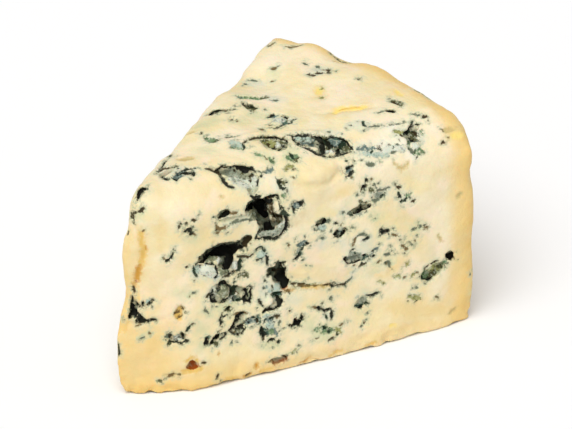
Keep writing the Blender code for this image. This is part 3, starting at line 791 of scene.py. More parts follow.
    (BUTTER, 0.7, (77.6, 19.4), (79.6, 19.4)),
    (STRAW, 1.6, (72.6, 30.8), (73.6, 33.6)),
    (BUTTER, 0.9, (73.2, 32.6)),
    (LICHEN, 0.15, (74.2, 33.4)),
    (LICHEN, 0.15, (72.4, 29.6)),
    (BUTTER, 0.8, (72.4, 31), (73.4, 33.6)),
    (STRAW, 1.4, (89.8, 24), (90.8, 20)),
    (BUTTER, 0.7, (90, 23.6), (90.6, 20.6)),
    (OLIVE, 0.6, (87.4, 19.2), (87.9, 17.4), (88.3, 16.2)),
    (UMBER, 0.3, (87.4, 19.2), (87.9, 17.4)),
    (BLACK_MOULD_AND_SHADE, 0.6, (84.2, 15.2), (84.9, 14.2)),
    (SMOKE, 0.25, (80.8, 14.8), (82.4, 14.9), (84, 15)),
    (UMBER, 0.55, (91, 9.4), (91.8, 9.2)),
    (SMOKE, 0.3, (88.8, 11.2), (90.2, 10.2)),
    (HAZE, 1.5, (72.8, 12.2), (75.6, 11.4)),
    (UMBER, 0.32, (72.3, 12.3)),
    (PINE, 0.3, (75.8, 12.4), (75.4, 11.2), (75.8, 10.4)),
    (SMOKE, 0.22, (76, 10.4), (79, 9.8)),
    (SMOKE, 0.2, (80, 9.8), (84, 8.8), (86, 9.2)),
    (UMBER, 0.38, (92.8, 2), (93.4, 2.2)),
    (TAN, 0.7, (94.8, 4.4), (97.4, 4.4)),
    (STRAW, 2.2, (95.6, 3), (99, 5)),
    (BUTTER, 1.2, (96.2, 2.6), (98.6, 3)),
    (BARK, 0.15, (93.6, 4.8), (94.2, 4.2)),
    (BARK, 0.15, (94.6, 3), (95, 2.6)),
    (AMBER, 0.3, (97.6, 2.2)),
    (UMBER, 0.35, (95.6, 22.2), (96.6, 20.4), (98, 18.2)),
    # Slate oval and faint marks on the shoulder
    (SLATE, 0.8, (66.2, 1.5), (67.4, 1.8)),
    (INK, 0.4, (65.4, 1), (66.6, 1), (67.8, 1.5)),
    (INK, 0.3, (66.2, 2.2), (68, 2.3)),
    (SMOKE, 0.35, (71.8, 1.9), (73.4, 1.7)),
    (HAZE, 0.9, (72.6, 1.6)),
    (TAN, 0.45, (79.2, 1), (80.6, 0.6), (82.6, 0.8)),
    (SAGE, 1.2, (33, 17.4), (36, 16)),
    (TAN, 0.9, (27, 16.2), (30, 14.6)),
    (TAN, 0.6, (34.6, 28), (36, 26.6)),
)

TIP_MARKS = strokes(
    (STRAW, 1.6, (1.4, 47), (1.2, 41), (1, 34)),
    (STRAW, 1.6, (-0.8, 48), (-1, 42), (-0.4, 34)),
    (STRAW, 1.4, (0.4, 19), (0.4, 12), (0.2, 5)),
    (HONEY, 0.7, (-1.2, 46.8), (-1.1, 44.4), (-1.2, 42.4)),
    (HONEY, 1, (-1.3, 42.8), (-1.3, 40.4), (-0.9, 38)),
    (AMBER, 0.35, (-1.7, 42.6), (-1.5, 40.2), (-1.1, 38.4)),
    (AMBER, 0.8, (-0.8, 37.6), (-0.4, 35.4), (-0.2, 33.4)),
    (RUST, 0.4, (-0.5, 36.8), (-0.3, 34.6), (0, 32.6)),
    (AMBER, 0.4, (0.2, 33), (0.5, 31.2)),
    (BARK, 0.25, (-1.4, 47.4)),
    (UMBER, 0.3, (0.8, 31), (0.7, 29.2)),
    (BLACK_MOULD_AND_SHADE, 0.5, (1.2, 27.8), (0.9, 26.2), (0.2, 24.6), (-0.3, 22.8)),
    (BLACK_MOULD_AND_SHADE, 0.4, (0.3, 24.6), (1.1, 22.6)),
    (INK, 0.3, (1.4, 26), (1, 24.2)),
    (INK, 0.45, (-0.6, 24), (-1.5, 22), (-2.4, 21.2)),
    (INK, 0.25, (-2.4, 21.2), (-3.5, 21.7), (-4.4, 22.2)),
    (INK, 0.22, (0, 27), (-0.8, 25.9), (-1.9, 25.9), (-3, 27)),
    (BLACK_MOULD_AND_SHADE, 0.35, (-1.3, 26.6)),
    (BLACK_MOULD_AND_SHADE, 0.35, (-3, 27.1)),
    (MINT, 0.4, (-2.2, 27.2)),
    (SAGE, 0.7, (-2.2, 18.6), (-0.6, 16.6)),
    (SMOKE, 0.12, (-1.8, 17.4), (-1, 16.2)),
    (BARK, 0.25, (-2.5, 18.2)),
    (UMBER, 0.4, (-1, 53.6), (-0.4, 52.4), (0.4, 52)),
    (INK, 0.25, (-0.9, 53.4), (-0.3, 52.3)),
    (UMBER, 0.35, (0.9, 52.2), (1, 50.2)),
    (UMBER, 0.3, (1.7, 51), (1.8, 50)),
    (SAGE, 1.1, (-0.4, 51)),
    (OLIVE, 0.25, (1.2, 51.6), (0.6, 49.4)),
    (INK, 0.3, (2.2, 46.6), (2.2, 45.8)),
    (INK, 0.4, (2.8, 15), (3, 12)),
)

MARKS = {Side.FRONT: FRONT_MARKS, Side.TOP: TOP_MARKS, Side.TIP: TIP_MARKS}

# Driving dimensions, the same as the part's
WHEEL_RADIUS = 101.6 * MM
WEDGE_HEIGHT = 58.3 * MM
HALF_ANGLE = math.radians(20.5)
TIP_SET_BACK = 6.2 * MM
WHEEL_CENTRE = Vector((-54.9 * MM, -1.2 * MM, 0.0))
# How far back and how far down the top slopes to the front cut
FRONT_SLUMP = (10.0 * MM, 5.5 * MM)

ALONG = Vector((math.cos(HALF_ANGLE), -math.sin(HALF_ANGLE), 0.0))
FRONT_OUT = Vector((-math.sin(HALF_ANGLE), -math.cos(HALF_ANGLE), 0.0))
BACK_ALONG = Vector((math.cos(HALF_ANGLE), math.sin(HALF_ANGLE), 0.0))
BACK_OUT = Vector((-math.sin(HALF_ANGLE), math.cos(HALF_ANGLE), 0.0))
TOP_CENTRE = WHEEL_CENTRE + UP * WEDGE_HEIGHT
EDGE_OUT = (FRONT_OUT * FRONT_SLUMP[1] + UP * FRONT_SLUMP[0]).normalized()

# The veins slant into the paste: the way they run from the front, the top and the tip
VEIN_RUN = Vector((0.62, 0.60, -0.505)).normalized()


@dataclass(frozen=True)
class Chart:
    """A flat side's frame: a point of it, its two directions and the way it looks."""

    origin: Vector
    along: Vector
    across: Vector
    out: Vector

    def spot(self, place: Place) -> Vector:
        """The side's point at a place in millimetres."""
        return self.origin + self.along * place[0] * MM + self.across * place[1] * MM

    def way_out(self, place: Place) -> Vector:
        """The way the side looks at a place."""
        return self.out


@dataclass(frozen=True)
class RoundChart(Chart):
    """The rind's frame: places run round the wheel's axis and up."""

    def way_out(self, place: Place) -> Vector:
        """The way the rind looks at a place."""
        angle = place[0] * MM / WHEEL_RADIUS
        return self.out * math.cos(angle) + self.along * math.sin(angle)

    def spot(self, place: Place) -> Vector:
        """The rind's point at a place in millimetres."""
        return self.origin + self.way_out(place) * WHEEL_RADIUS + UP * place[1] * MM


ACROSS = Vector((0.0, 1.0, 0.0))
CHARTS = {
    Side.FRONT: Chart(WHEEL_CENTRE, ALONG, UP, FRONT_OUT),
    Side.BACK: Chart(WHEEL_CENTRE, BACK_ALONG, UP, BACK_OUT),
    Side.TOP: Chart(TOP_CENTRE, ALONG, -FRONT_OUT, UP),
    Side.EDGE: Chart(TOP_CENTRE - UP * FRONT_SLUMP[1], ALONG, EDGE_OUT.cross(ALONG), EDGE_OUT),
    Side.TIP: Chart(Vector((WHEEL_CENTRE.x + TIP_SET_BACK, 0.0, 0.0)), ACROSS, UP, TIPWARD),
    Side.RIND: RoundChart(WHEEL_CENTRE, ACROSS, UP, -TIPWARD),
    Side.BASE: Chart(WHEEL_CENTRE, ALONG, -FRONT_OUT, -UP),
}


@dataclass(frozen=True)
class Hollow:
    """An open hollow in the paste, made of lobes that run into each other."""

    side: Side
    lobes: tuple[Lobe, ...]


@dataclass(frozen=True)
class Lump:
    """A crumb or curl of paste: its middle lies `sunk` millimetres below the side."""

    side: Side
    lobe: Lobe
    sunk: float


@dataclass(frozen=True)
class Dent:
    """A place pressed in, or swollen where the depth is below zero, in millimetres."""

    side: Side
    place: Place
    radius: float
    depth: float


HOLLOWS = (
    Hollow(Side.FRONT, (  # deep pocket
        Lobe((41.9, 47.8), 8.0, 5.0, 7.0, 12.0),
        Lobe((44.4, 44.2), 7.5, 6.0, 8.0, -50.0),
        Lobe((45.6, 47.2), 3.6, 5.6, 4.0, -8.0),
    )),
    Hollow(Side.FRONT, (  # open mouth
        Lobe((31.6, 38.1), 12.0, 4.0, 8.0, 9.0),
        Lobe((32.8, 35.0), 4.4, 6.5, 6.0),
        Lobe((37.2, 39.6), 4.6, 2.2, 3.0, 22.0),
        Lobe((27.6, 33.8), 6.0, 3.0, 1.6, -28.0),
    )),
    Hollow(Side.FRONT, (  # star and the groove below it
        Lobe((31.9, 48.9), 3.4, 1.3, 2.2, 8.0),
        Lobe((34.6, 46.8), 9.0, 1.6, 1.3, -4.0),
    )),
    Hollow(Side.FRONT, (  # pebble bed
        Lobe((31.0, 26.8), 5.6, 6.4, 2.8, -8.0),
        Lobe((35.0, 25.2), 5.0, 4.6, 2.0, -8.0),
        Lobe((38.0, 24.4), 2.8, 4.4, 2.6, -4.0),
    )),
    Hollow(Side.FRONT, (  # black shaft
        Lobe((46.9, 27.6), 3.6, 6.8, 6.5, 6.0),
        Lobe((45.2, 29.4), 3.6, 2.4, 3.0, -24.0),
        Lobe((48.4, 25.2), 2.2, 2.6, 3.0),
        Lobe((45.0, 20.2), 5.4, 3.0, 2.6, 6.0),
    )),
    Hollow(Side.FRONT, (Lobe((41.9, 35.2), 3.6, 3.4, 1.1),)),
    Hollow(Side.FRONT, (
        Lobe((58.5, 40.2), 2.8, 1.7, 2.2, 8.0),
        Lobe((58.2, 38.8), 3.0, 2.0, 0.9),
    )),
    Hollow(Side.FRONT, (Lobe((63.2, 35.9), 3.2, 1.8, 1.8),)),
    Hollow(Side.FRONT, (
        Lobe((69.4, 41.7), 5.6, 1.6, 2.6, 6.0),
        Lobe((74.0, 44.2), 4.0, 2.4, 0.9, 12.0),
    )),
    Hollow(Side.FRONT, (Lobe((67.4, 27.6), 6.4, 1.8, 1.8, -4.0),)),
    Hollow(Side.FRONT, (Lobe((69.6, 14.2), 3.8, 2.8, 1.4, 24.0),)),
    Hollow(Side.FRONT, (Lobe((36.0, 17.6), 4.4, 3.0, 1.2, 55.0),)),
    Hollow(Side.FRONT, (Lobe((29.4, 13.8), 2.6, 2.6, 1.6, 60.0),)),
    Hollow(Side.FRONT, (Lobe((20.3, 23.2), 2.6, 4.4, 1.2, -10.0),)),
    Hollow(Side.FRONT, (Lobe((20.0, 15.8), 5.0, 2.0, 1.2, 18.0),)),
    Hollow(Side.FRONT, (Lobe((23.2, 7.5), 3.0, 2.2, 1.6),)),
    Hollow(Side.FRONT, (Lobe((46.6, 3.3), 4.4, 1.6, 1.6),)),
    Hollow(Side.FRONT, (Lobe((52.0, 13.1), 2.6, 1.6, 1.4, 14.0),)),
    Hollow(Side.FRONT, (  # pit near the rind
        Lobe((90.0, 17.9), 6.6, 3.6, 2.4, 18.0),
        Lobe((94.7, 21.4), 2.4, 2.6, 2.4, -40.0),
    )),
    Hollow(Side.TOP, (  # leaf-shaped crevice
        Lobe((59.8, 11.4), 7.4, 3.4, 2.4, -34.0),
        Lobe((62.6, 9.2), 3.0, 6.6, 4.4, 12.0),
        Lobe((66.0, 8.0), 7.0, 4.0, 2.8, -34.0),
    )),
    Hollow(Side.TOP, (  # arched pit
        Lobe((50.6, 15.6), 8.0, 2.0, 2.4, -8.0),
        Lobe((51.6, 12.6), 6.6, 5.4, 2.2, -12.0),
        Lobe((42.2, 14.8), 3.4, 3.2, 1.0, -30.0),
    )),
    Hollow(Side.TOP, (  # black pit: near-black mould and painted shade
        Lobe((85.0, 5.4), 2.2, 3.6, 2.6, -10.0),
        Lobe((86.8, 6.6), 4.4, 1.8, 2.6, 32.0),
    )),
    Hollow(Side.TOP, (Lobe((75.4, 20.5), 8.0, 1.9, 1.4, -14.0),)),
    Hollow(Side.EDGE, (  # open crevice on the slumped edge
        Lobe((37.4, 8.0), 9.6, 2.8, 3.4, -16.0),
        Lobe((39.6, 5.4), 6.4, 4.6, 4.2, -10.0),
        Lobe((40.8, 2.6), 3.2, 3.6, 2.4),
    )),
    Hollow(Side.TOP, (Lobe((46.0, 33.0), 7.4, 1.5, 1.8, -16.0),)),
    Hollow(Side.TOP, (Lobe((58.6, 25.2), 4.4, 2.2, 1.2, -10.0),)),
    Hollow(Side.TOP, (Lobe((53.7, 32.2), 1.8, 4.2, 1.2, -20.0),)),
    Hollow(Side.TOP, (Lobe((56.0, 36.8), 6.6, 1.6, 0.9, -22.0),)),
    Hollow(Side.TOP, (Lobe((84.5, 14.8), 2.0, 1.6, 1.4),)),
    Hollow(Side.TOP, (
        Lobe((22.6, 12.2), 7.0, 1.8, 1.8, 24.0),
        Lobe((26.4, 9.6), 6.0, 2.2, 1.4, -4.0),
    )),
    Hollow(Side.TIP, (
        Lobe((0.7, 25.4), 2.0, 6.0, 2.2, 4.0),
        Lobe((-1.4, 22.2), 4.0, 1.2, 0.9, -12.0),
    )),
    Hollow(Side.TOP, (Lobe((12.9, 7.7), 2.8, 1.6, 1.4, 30.0),)),
    Hollow(Side.BACK, (
        Lobe((70.0, 36.0), 11.0, 3.8, 6.0, -12.0),
        Lobe((66.6, 34.0), 4.0, 4.6, 4.0),
    )),
    Hollow(Side.BACK, (
        Lobe((52.0, 22.4), 3.6, 7.6, 5.0, 20.0),
        Lobe((50.4, 19.0), 4.4, 2.4, 2.4, -8.0),
    )),
    Hollow(Side.BACK, (
        Lobe((36.0, 41.0), 7.6, 4.4, 4.5, 30.0),
        Lobe((38.6, 43.2), 3.0, 4.0, 2.6),
    )),
)

LUMPS = (
    Lump(Side.FRONT, Lobe((46.4, 47.6), 1.9, 4.2, 1.6, -6.0), 1.0),
    Lump(Side.FRONT, Lobe((44.2, 46.8), 0.9, 4.6, 1.4, -4.0), 2.6),
    Lump(Side.FRONT, Lobe((45.4, 46.6), 0.8, 4.4, 1.4, -6.0), 2.2),
    Lump(Side.FRONT, Lobe((39.6, 47.4), 1.8, 3.4, 1.6, 10.0), 2.4),
    Lump(Side.FRONT, Lobe((46.0, 43.6), 2.6, 1.4, 1.2, -30.0), 1.6),
    Lump(Side.FRONT, Lobe((44.8, 40.7), 6.8, 1.9, 1.4, 8.0), 0.9),
    Lump(Side.FRONT, Lobe((37.6, 37.1), 4.4, 2.2, 1.3, 14.0), 0.5),
    Lump(Side.FRONT, Lobe((30.2, 36.3), 2.0, 2.0, 1.4), 1.7),
    Lump(Side.FRONT, Lobe((28.2, 33.4), 4.4, 1.8, 1.2, -30.0), 0.8),
    Lump(Side.FRONT, Lobe((35.4, 33.8), 1.8, 3.2, 1.5), 0.8),
    Lump(Side.FRONT, Lobe((31.6, 32.8), 2.8, 1.8, 1.3, -20.0), 1.2),
    Lump(Side.FRONT, Lobe((42.2, 35.0), 2.4, 2.6, 1.2), 0.5),
    Lump(Side.FRONT, Lobe((31.5, 27.1), 4.2, 5.0, 2.2), 1.1),
    Lump(Side.FRONT, Lobe((38.1, 24.5), 1.7, 3.0, 1.6), 1.1),
    Lump(Side.FRONT, Lobe((34.9, 24.6), 1.8, 1.8, 1.2), 1.2),
    Lump(Side.FRONT, Lobe((46.3, 24.3), 2.2, 2.2, 1.6), 1.4),
    Lump(Side.FRONT, Lobe((44.0, 21.2), 2.8, 3.2, 1.4), 0.7),
    Lump(Side.FRONT, Lobe((89.8, 18.2), 3.0, 1.8, 1.2, 12.0), 1.4),
    Lump(Side.TOP, Lobe((59.4, 12.0), 3.8, 1.6, 1.1, -34.0), 1.2),
    Lump(Side.TOP, Lobe((66.4, 8.6), 3.0, 1.5, 1.0, -30.0), 1.5),
    Lump(Side.TOP, Lobe((51.6, 12.6), 3.0, 2.4, 1.1), 1.3),
    Lump(Side.EDGE, Lobe((38.6, 4.0), 4.4, 2.2, 1.4, -24.0), 2.0),
)

DENTS = (
    Dent(Side.TOP, (80.5, 52.5), 6.5, -2.1),
    Dent(Side.TOP, (87.5, 46.5), 5.0, 2.3),
    Dent(Side.TOP, (75.0, 60.0), 6.5, -1.3),
    Dent(Side.TOP, (77.6, 57.0), 3.5, 0.9),
    Dent(Side.TOP, (93.0, 38.0), 6.0, -0.8),
    Dent(Side.TOP, (31.5, 24.5), 4.0, 1.0),
    Dent(Side.TOP, (60.5, 45.0), 12.0, 2.4),
    Dent(Side.TOP, (35.0, 25.0), 6.0, -0.6),
    Dent(Side.TOP, (28.0, 17.5), 6.0, 0.8),
    Dent(Side.FRONT, (101.5, 42.8), 5.0, 1.6),
    Dent(Side.FRONT, (101.2, 1.0), 6.0, 1.3),
    Dent(Side.FRONT, (58.0, 51.5), 8.0, -0.7),
    Dent(Side.TIP, (0.5, 29.5), 8.0, 2.4),
    Dent(Side.TIP, (2.6, 27.0), 6.0, 4.0),
    Dent(Side.TIP, (2.6, 37.6), 7.5, -2.2),
    Dent(Side.TIP, (2.2, 18.0), 6.5, 0.8),
    Dent(Side.TIP, (1.0, 44.0), 9.0, -1.2),
)

RIDGES = (
    Ridge(Side.FRONT, 1.6, -0.6, ((52.0, 52.0), (56.0, 50.8), (61.0, 50.6), (64.5, 52.8))),
    Ridge(Side.FRONT, 2.0, 0.4, ((53.0, 54.0), (58.0, 53.2), (62.6, 54.2))),
    Ridge(Side.FRONT, 1.4, 0.35, ((36.2, 46.2), (33.0, 44.4), (29.4, 45.0))),
    Ridge(Side.FRONT, 1.5, 0.35, ((48.6, 29.6), (51.0, 27.6), (53.6, 26.8))),
    Ridge(Side.FRONT, 1.2, -0.35, ((8.0, 21.0), (11.5, 21.5), (16.0, 21.8))),
    Ridge(Side.FRONT, 1.2, -0.3, ((64.4, 38.2), (66.2, 34.4), (66.4, 30.0))),
    Ridge(Side.FRONT, 1.8, -0.4, ((77.6, 26.0), (77.4, 22.6), (79.0, 19.4))),
    Ridge(Side.TOP, 1.6, -0.4, ((68.0, 22.6), (72.0, 21.6), (79.4, 18.6), (82.0, 18.4))),
    Ridge(Side.TOP, 1.5, 0.4, ((56.4, 16.0), (60.4, 15.2), (64.6, 12.8))),
    Ridge(Side.TOP, 1.3, 0.4, ((40.4, 17.8), (45.4, 18.4), (50.4, 18.4))),
)


def smooth_step(low: float, high: float, value: np.ndarray) -> np.ndarray:
    """Ease from 0 at `low` to 1 at `high`.

    Args:
        low, high: Where the ease starts and ends; low may be the greater.
        value: What is eased.

    Returns:
        The eased values, 0 to 1.
    """
    share = np.clip((value - low) / (high - low), 0.0, 1.0)
    return share * share * (3.0 - 2.0 * share)


def make_active(item: bpy.types.Object) -> None:
    """Select one object alone."""
    bpy.ops.object.select_all(action="DESELECT")
    item.select_set(True)
    bpy.context.view_layer.objects.active = item


def modify(item: bpy.types.Object, kind: str, **settings: object) -> None:
    """Add a modifier and apply it.

    Args:
        item: The object that is changed.
        kind: The modifier's type.
        settings: The modifier's settings.
    """
    make_active(item)
    modifier = item.modifiers.new(kind.title(), kind)
    for name, value in settings.items():
        setattr(modifier, name, value)
    bpy.ops.object.modifier_apply(modifier=modifier.name)


def add_waves(item: bpy.types.Object, size: float, height: float) -> None:
    """Make a surface uneven with clouds of one size.

    Args:
        item: The object that is changed.
        size, height: The clouds' size and the waves' height, in metres.
    """
    texture = bpy.data.textures.new("clouds", "CLOUDS")
    texture.noise_scale = size
    texture.noise_depth = 1
    modify(item, "DISPLACE", texture=texture, strength=height, mid_level=0.5)


def slice_off(point: Vector, outward: Vector) -> None:
    """Cut the mesh being edited along a plane, drop what lies outside and close the cut."""
    bpy.ops.mesh.select_all(action="SELECT")
    bpy.ops.mesh.bisect(
        plane_co=point, plane_no=outward.normalized(), use_fill=True, clear_outer=True,
        threshold=1e-6,
    )


def slump(foot: Vector, outward: Vector, reach: float, drop: float) -> None:
    """Slope the top of the mesh being edited down to a side.

    Args:
        foot: A point of the side at the top's height.
        outward: The way the side looks.
        reach, drop: How far back and how far down the slope runs.
    """
    slice_off(foot - UP * drop, outward * drop + UP * reach)


@dataclass(frozen=True)
class WedgeBlank:
    """The wedge before its hollows are cut, with spare paste below its base."""

    wheel_sides: int = 144
    rind_flare: float = 2.0 * MM
    rim_rounding: float = 4.5 * MM
    spare_base: float = 4.0 * MM
    back_lean: float = math.radians(2.2)
    cheek_start: float = 25.0 * MM
    cheek_turn: float = math.radians(17.0)
    tip_slump: tuple[float, float] = (9.0 * MM, 8.0 * MM)
    tip_foot: tuple[float, float] = (2.0 * MM, 4.0 * MM)
    edge_rounding: float = 3.0 * MM
    surface_step: float = 3.0 * MM
    softening: int = 4
    waves: tuple[tuple[float, float], ...] = ((30.0 * MM, 2.2 * MM), (10.0 * MM, 0.9 * MM))

    def wheel(self) -> bpy.types.Object:
        """The wheel the wedge is cut from, with a rounded upper rim."""
        bpy.ops.mesh.primitive_cone_add(
            vertices=self.wheel_sides, radius1=WHEEL_RADIUS + self.rind_flare,
            radius2=WHEEL_RADIUS, depth=WEDGE_HEIGHT + self.spare_base,
            location=WHEEL_CENTRE + UP * (WEDGE_HEIGHT - self.spare_base) / 2,
        )
        item = bpy.context.object
        bpy.ops.object.transform_apply(location=True, rotation=True, scale=True)
        bpy.ops.object.mode_set(mode="EDIT")
        bpy.ops.mesh.select_mode(type="EDGE")
        bpy.ops.mesh.select_all(action="DESELECT")
        shape = bmesh.from_edit_mesh(item.data)
        for edge in shape.edges:
            edge.select = all(point.co.z > WEDGE_HEIGHT - 1e-5 for point in edge.verts)
        bmesh.update_edit_mesh(item.data)
        bpy.ops.mesh.bevel(offset=self.rim_rounding, segments=4, profile=0.5, affect="EDGES")
        bpy.ops.object.mode_set(mode="OBJECT")
        return item

    def cut_sides(self, item: bpy.types.Object) -> None:
        """Cut the two faces, the bent cheek, the blunt tip and the slumped edges."""
        tip = TOP_CENTRE - TIPWARD * TIP_SET_BACK
        foot = WHEEL_CENTRE - TIPWARD * TIP_SET_BACK + UP * self.tip_foot[1]
        cheek_out = Matrix.Rotation(-self.cheek_turn, 3, UP) @ FRONT_OUT
        make_active(item)
        bpy.ops.object.mode_set(mode="EDIT")
        slice_off(TOP_CENTRE, FRONT_OUT)
        slice_off(TOP_CENTRE, BACK_OUT + UP * math.tan(self.back_lean))
        slice_off(TOP_CENTRE + ALONG * self.cheek_start, cheek_out)
        slice_off(tip, TIPWARD)
        slump(TOP_CENTRE, FRONT_OUT, *FRONT_SLUMP)
        slump(tip, TIPWARD, *self.tip_slump)
        slice_off(foot, TIPWARD * self.tip_foot[1] - UP * self.tip_foot[0])
        bpy.ops.object.mode_set(mode="OBJECT")

    def soften(self, item: bpy.types.Object) -> None:
        """Round the edges and make the surface gently uneven."""
        modify(
            item, "BEVEL", width=self.edge_rounding, segments=3, limit_method="ANGLE",
            angle_limit=math.radians(12.0),
        )
        modify(item, "REMESH", mode="VOXEL", voxel_size=self.surface_step)
        modify(item, "SMOOTH", factor=0.5, iterations=self.softening)
        for wave in self.waves:
            add_waves(item, *wave)

    def press(self, item: bpy.types.Object) -> None:
        """Press the dents in, or swell them, round each one's middle."""
        for dent in DENTS:
            middle = CHARTS[dent.side].spot(dent.place)
            for point in item.data.vertices:
                nearness = 1.0 - (point.co - middle).length / (dent.radius * MM)
                if nearness > 0.0:
                    ease = float(smooth_step(0.0, 1.0, nearness))
                    point.co -= point.normal * dent.depth * MM * ease

    def mesh(self) -> bpy.types.Object:
        """Build the blank."""
        item = self.wheel()
        self.cut_sides(item)
        self.soften(item)
        self.press(item)
        modify(item, "SUBSURF", levels=1)
        return item


class Terrain:
    """The blank's surface, which places and depths are measured from."""

    # How far over and under a side its surface is looked for
    ABOVE = 15.0 * MM
    BELOW = 9.0 * MM
    # How deep a wall's colour starts to follow the veins, and how much deeper it does
    # so in full, in millimetres; only where the surface looks against the veins
    VEIN_DEPTH = 0.2
    VEIN_BLEND = 0.8
    VEIN_FACING = -0.1

    def __init__(self, blank: bpy.types.Object) -> None:
        self.tree = BVHTree.FromObject(blank, bpy.context.evaluated_depsgraph_get())

    def anchor(self, side: Side, place: Place) -> tuple[Vector, Vector]:
        """Find the point of the surface at a side's place.

        Args:
            side: The side.
            place: Where on it, in millimetres.

        Returns:
            The point and the way the surface looks there.
        """
        chart = CHARTS[side]
        out = chart.way_out(place)
        spot = chart.spot(place)
        start = spot + out * self.ABOVE
        hit, normal, _, _ = self.tree.ray_cast(start, -out, self.ABOVE + self.BELOW)
        if hit is None:
            hit, normal, _, _ = self.tree.find_nearest(spot)
        return hit, normal

    def read(self, points: np.ndarray) -> tuple[np.ndarray, np.ndarray, np.ndarray]:
        """Find where points stand to the surface.

        Args:
            points: The points.

        Returns:
            The surface point each one's colour is taken from, the height over the
            surface in millimetres, and the way the surface looks.
        """
        sources = np.empty_like(points)
        heights = np.empty(len(points))
        normals = np.empty_like(points)
        for number, row in enumerate(points):
            point = Vector(row)
            near, normal, _, _ = self.tree.find_nearest(point)
            height = (point - near).dot(normal) / MM
            deeper = -self.VEIN_DEPTH - height
            if deeper > 0.0 and normal.dot(VEIN_RUN) < self.VEIN_FACING:
                seen, _, _, _ = self.tree.ray_cast(point, -VEIN_RUN)
                near = near.lerp(seen or near, min(deeper / self.VEIN_BLEND, 1.0))
            sources[number] = near
            heights[number] = height
            normals[number] = normal
        return sources, heights, normals


FLAT_SIDES = (Side.FRONT, Side.BACK, Side.TOP, Side.TIP, Side.RIND, Side.BASE)


def sides_of(normals: np.ndarray) -> np.ndarray:
    """Find the side each direction belongs to.

    Args:
        normals: Directions out of the wedge.

    Returns:
        For each, a number in FLAT_SIDES.
    """
    outs = np.array([CHARTS[side].out for side in FLAT_SIDES])
    return np.argmax(normals @ outs.T, axis=1)


# How far outside a mark its gap is measured, in millimetres, and how wide a stroke is
# at its ends, as a share of its middle
REACH = 3.0
THIN_END = 0.65


@dataclass
class PigmentField:
    """How far each point lies outside the marks of a layer, and the nearest mark's colour."""

    gaps: np.ndarray
    colours: np.ndarray
    carve: np.ndarray

    @classmethod
    def blank(cls, count: int) -> "PigmentField":
        """A field with no marks for a number of points."""
        return cls(np.full(count, REACH), np.zeros((count, 3)), np.zeros(count))


def line_gaps(points: np.ndarray, line: list[Vector], half_width: float) -> np.ndarray:
    """How far points lie outside a stroke that thins towards its ends.

    Args:
        points: The points.
        line: The stroke's points.
        half_width: The stroke's half width where it is widest, in millimetres.

    Returns:
        The distances in millimetres, below zero inside the stroke.
    """
    if len(line) == 1:
        return np.linalg.norm(points - np.array(line[0]), axis=1) / MM - half_width
    steps = [(end - start).length for start, end in zip(line, line[1:])]
    whole = max(sum(steps), 1e-9)
    best = np.full(len(points), 99.0)
    covered = 0.0
    for start, end, step in zip(line, line[1:], steps):
        way = np.array(end - start)
        share = np.clip((points - np.array(start)) @ way / max(step * step, 1e-12), 0.0, 1.0)
        gap = np.linalg.norm(points - np.array(start) - share[:, None] * way, axis=1) / MM
        along = (covered + share * step) / whole
        taper = THIN_END + (1.0 - THIN_END) * np.sin(math.pi * along)
        best = np.minimum(best, gap - half_width * taper)
        covered += step
    return best


class Painter:
    """Lays marks on the surface: keeps, for every point, its place on the blank's surface."""

    # How much wider each layer is laid than its marks, in millimetres
    SPREAD = {Layer.BLOOM: 0.3, Layer.STAIN: 0.05, Layer.MOULD: 0.22, Layer.INK: 0.1}
    # Sizes and lengths of the wandering, in millimetres
    DRIFTS = ((2.6, 0.4), (1.1, 0.2))
    # The gaps at which a pit starts and has its full depth, in millimetres
    PIT_EDGE = (0.25, -0.3)

    def __init__(self, terrain: Terrain, sources: np.ndarray) -> None:
        self.terrain = terrain
        self.sources = self.wander(sources)
        self.fields = {layer: PigmentField.blank(len(sources)) for layer in Layer}

    def wander(self, sources: np.ndarray) -> np.ndarray:
        """Move the places a little at random, so that no stroke is straight.

        Args:
            sources: The places.

        Returns:
            The moved places.
        """
        moved = sources.copy()
        for number, row in enumerate(sources):
            point = Vector(row) / MM
            for size, length in self.DRIFTS:
                moved[number] += np.array(noise.noise_vector(point / size)) * length * MM
        return moved

    def lay(self, side: Side, marks: list[Mark]) -> None:
        """Lay marks on a side.

        Args:
            side: The side their places are on.
            marks: The marks.
        """
        LOG.info("laying %d marks on the %s", len(marks), side.value)
        for mark in marks:
            line = [self.terrain.anchor(side, place)[0] for place in mark.points]
            width = mark.half_width + self.SPREAD[mark.pigment.layer]
            reach = (width + REACH) * MM
            low = np.min(np.array(line), axis=0) - reach
            high = np.max(np.array(line), axis=0) + reach
            near = np.flatnonzero(np.all((self.sources > low) & (self.sources < high), axis=1))
            gaps = line_gaps(self.sources[near], line, width)
            sunk = self.fields[mark.pigment.layer]
            closer = gaps < sunk.gaps[near]
            sunk.gaps[near[closer]] = gaps[closer]
            sunk.colours[near[closer]] = mark.pigment.colour
            depth = mark.pigment.carve * smooth_step(*self.PIT_EDGE, gaps)
            sunk.carve[near] = np.where(
                np.abs(depth) > np.abs(sunk.carve[near]), depth, sunk.carve[near]
            )

    def store(self, mesh: bpy.types.Mesh) -> None:
        """Keep the layers on a mesh, each nearest colour with its gap as the alpha."""
        for layer, sunk in self.fields.items():
            held = mesh.attributes.new(layer.value, "FLOAT_COLOR", "POINT")
            values = np.column_stack((sunk.colours, sunk.gaps)).astype(np.float32)
            held.data.foreach_set("color", values.ravel())


def onward(place: Place, heading: float, length: float) -> Place:
    """The place some way off."""
    return (place[0] + length * math.cos(heading), place[1] + length * math.sin(heading))


def astray(rng: random.Random, place: Place, spread: float) -> Place:
    """A place by chance near another."""
    return (place[0] + rng.gauss(0.0, spread), place[1] + rng.gauss(0.0, spread))


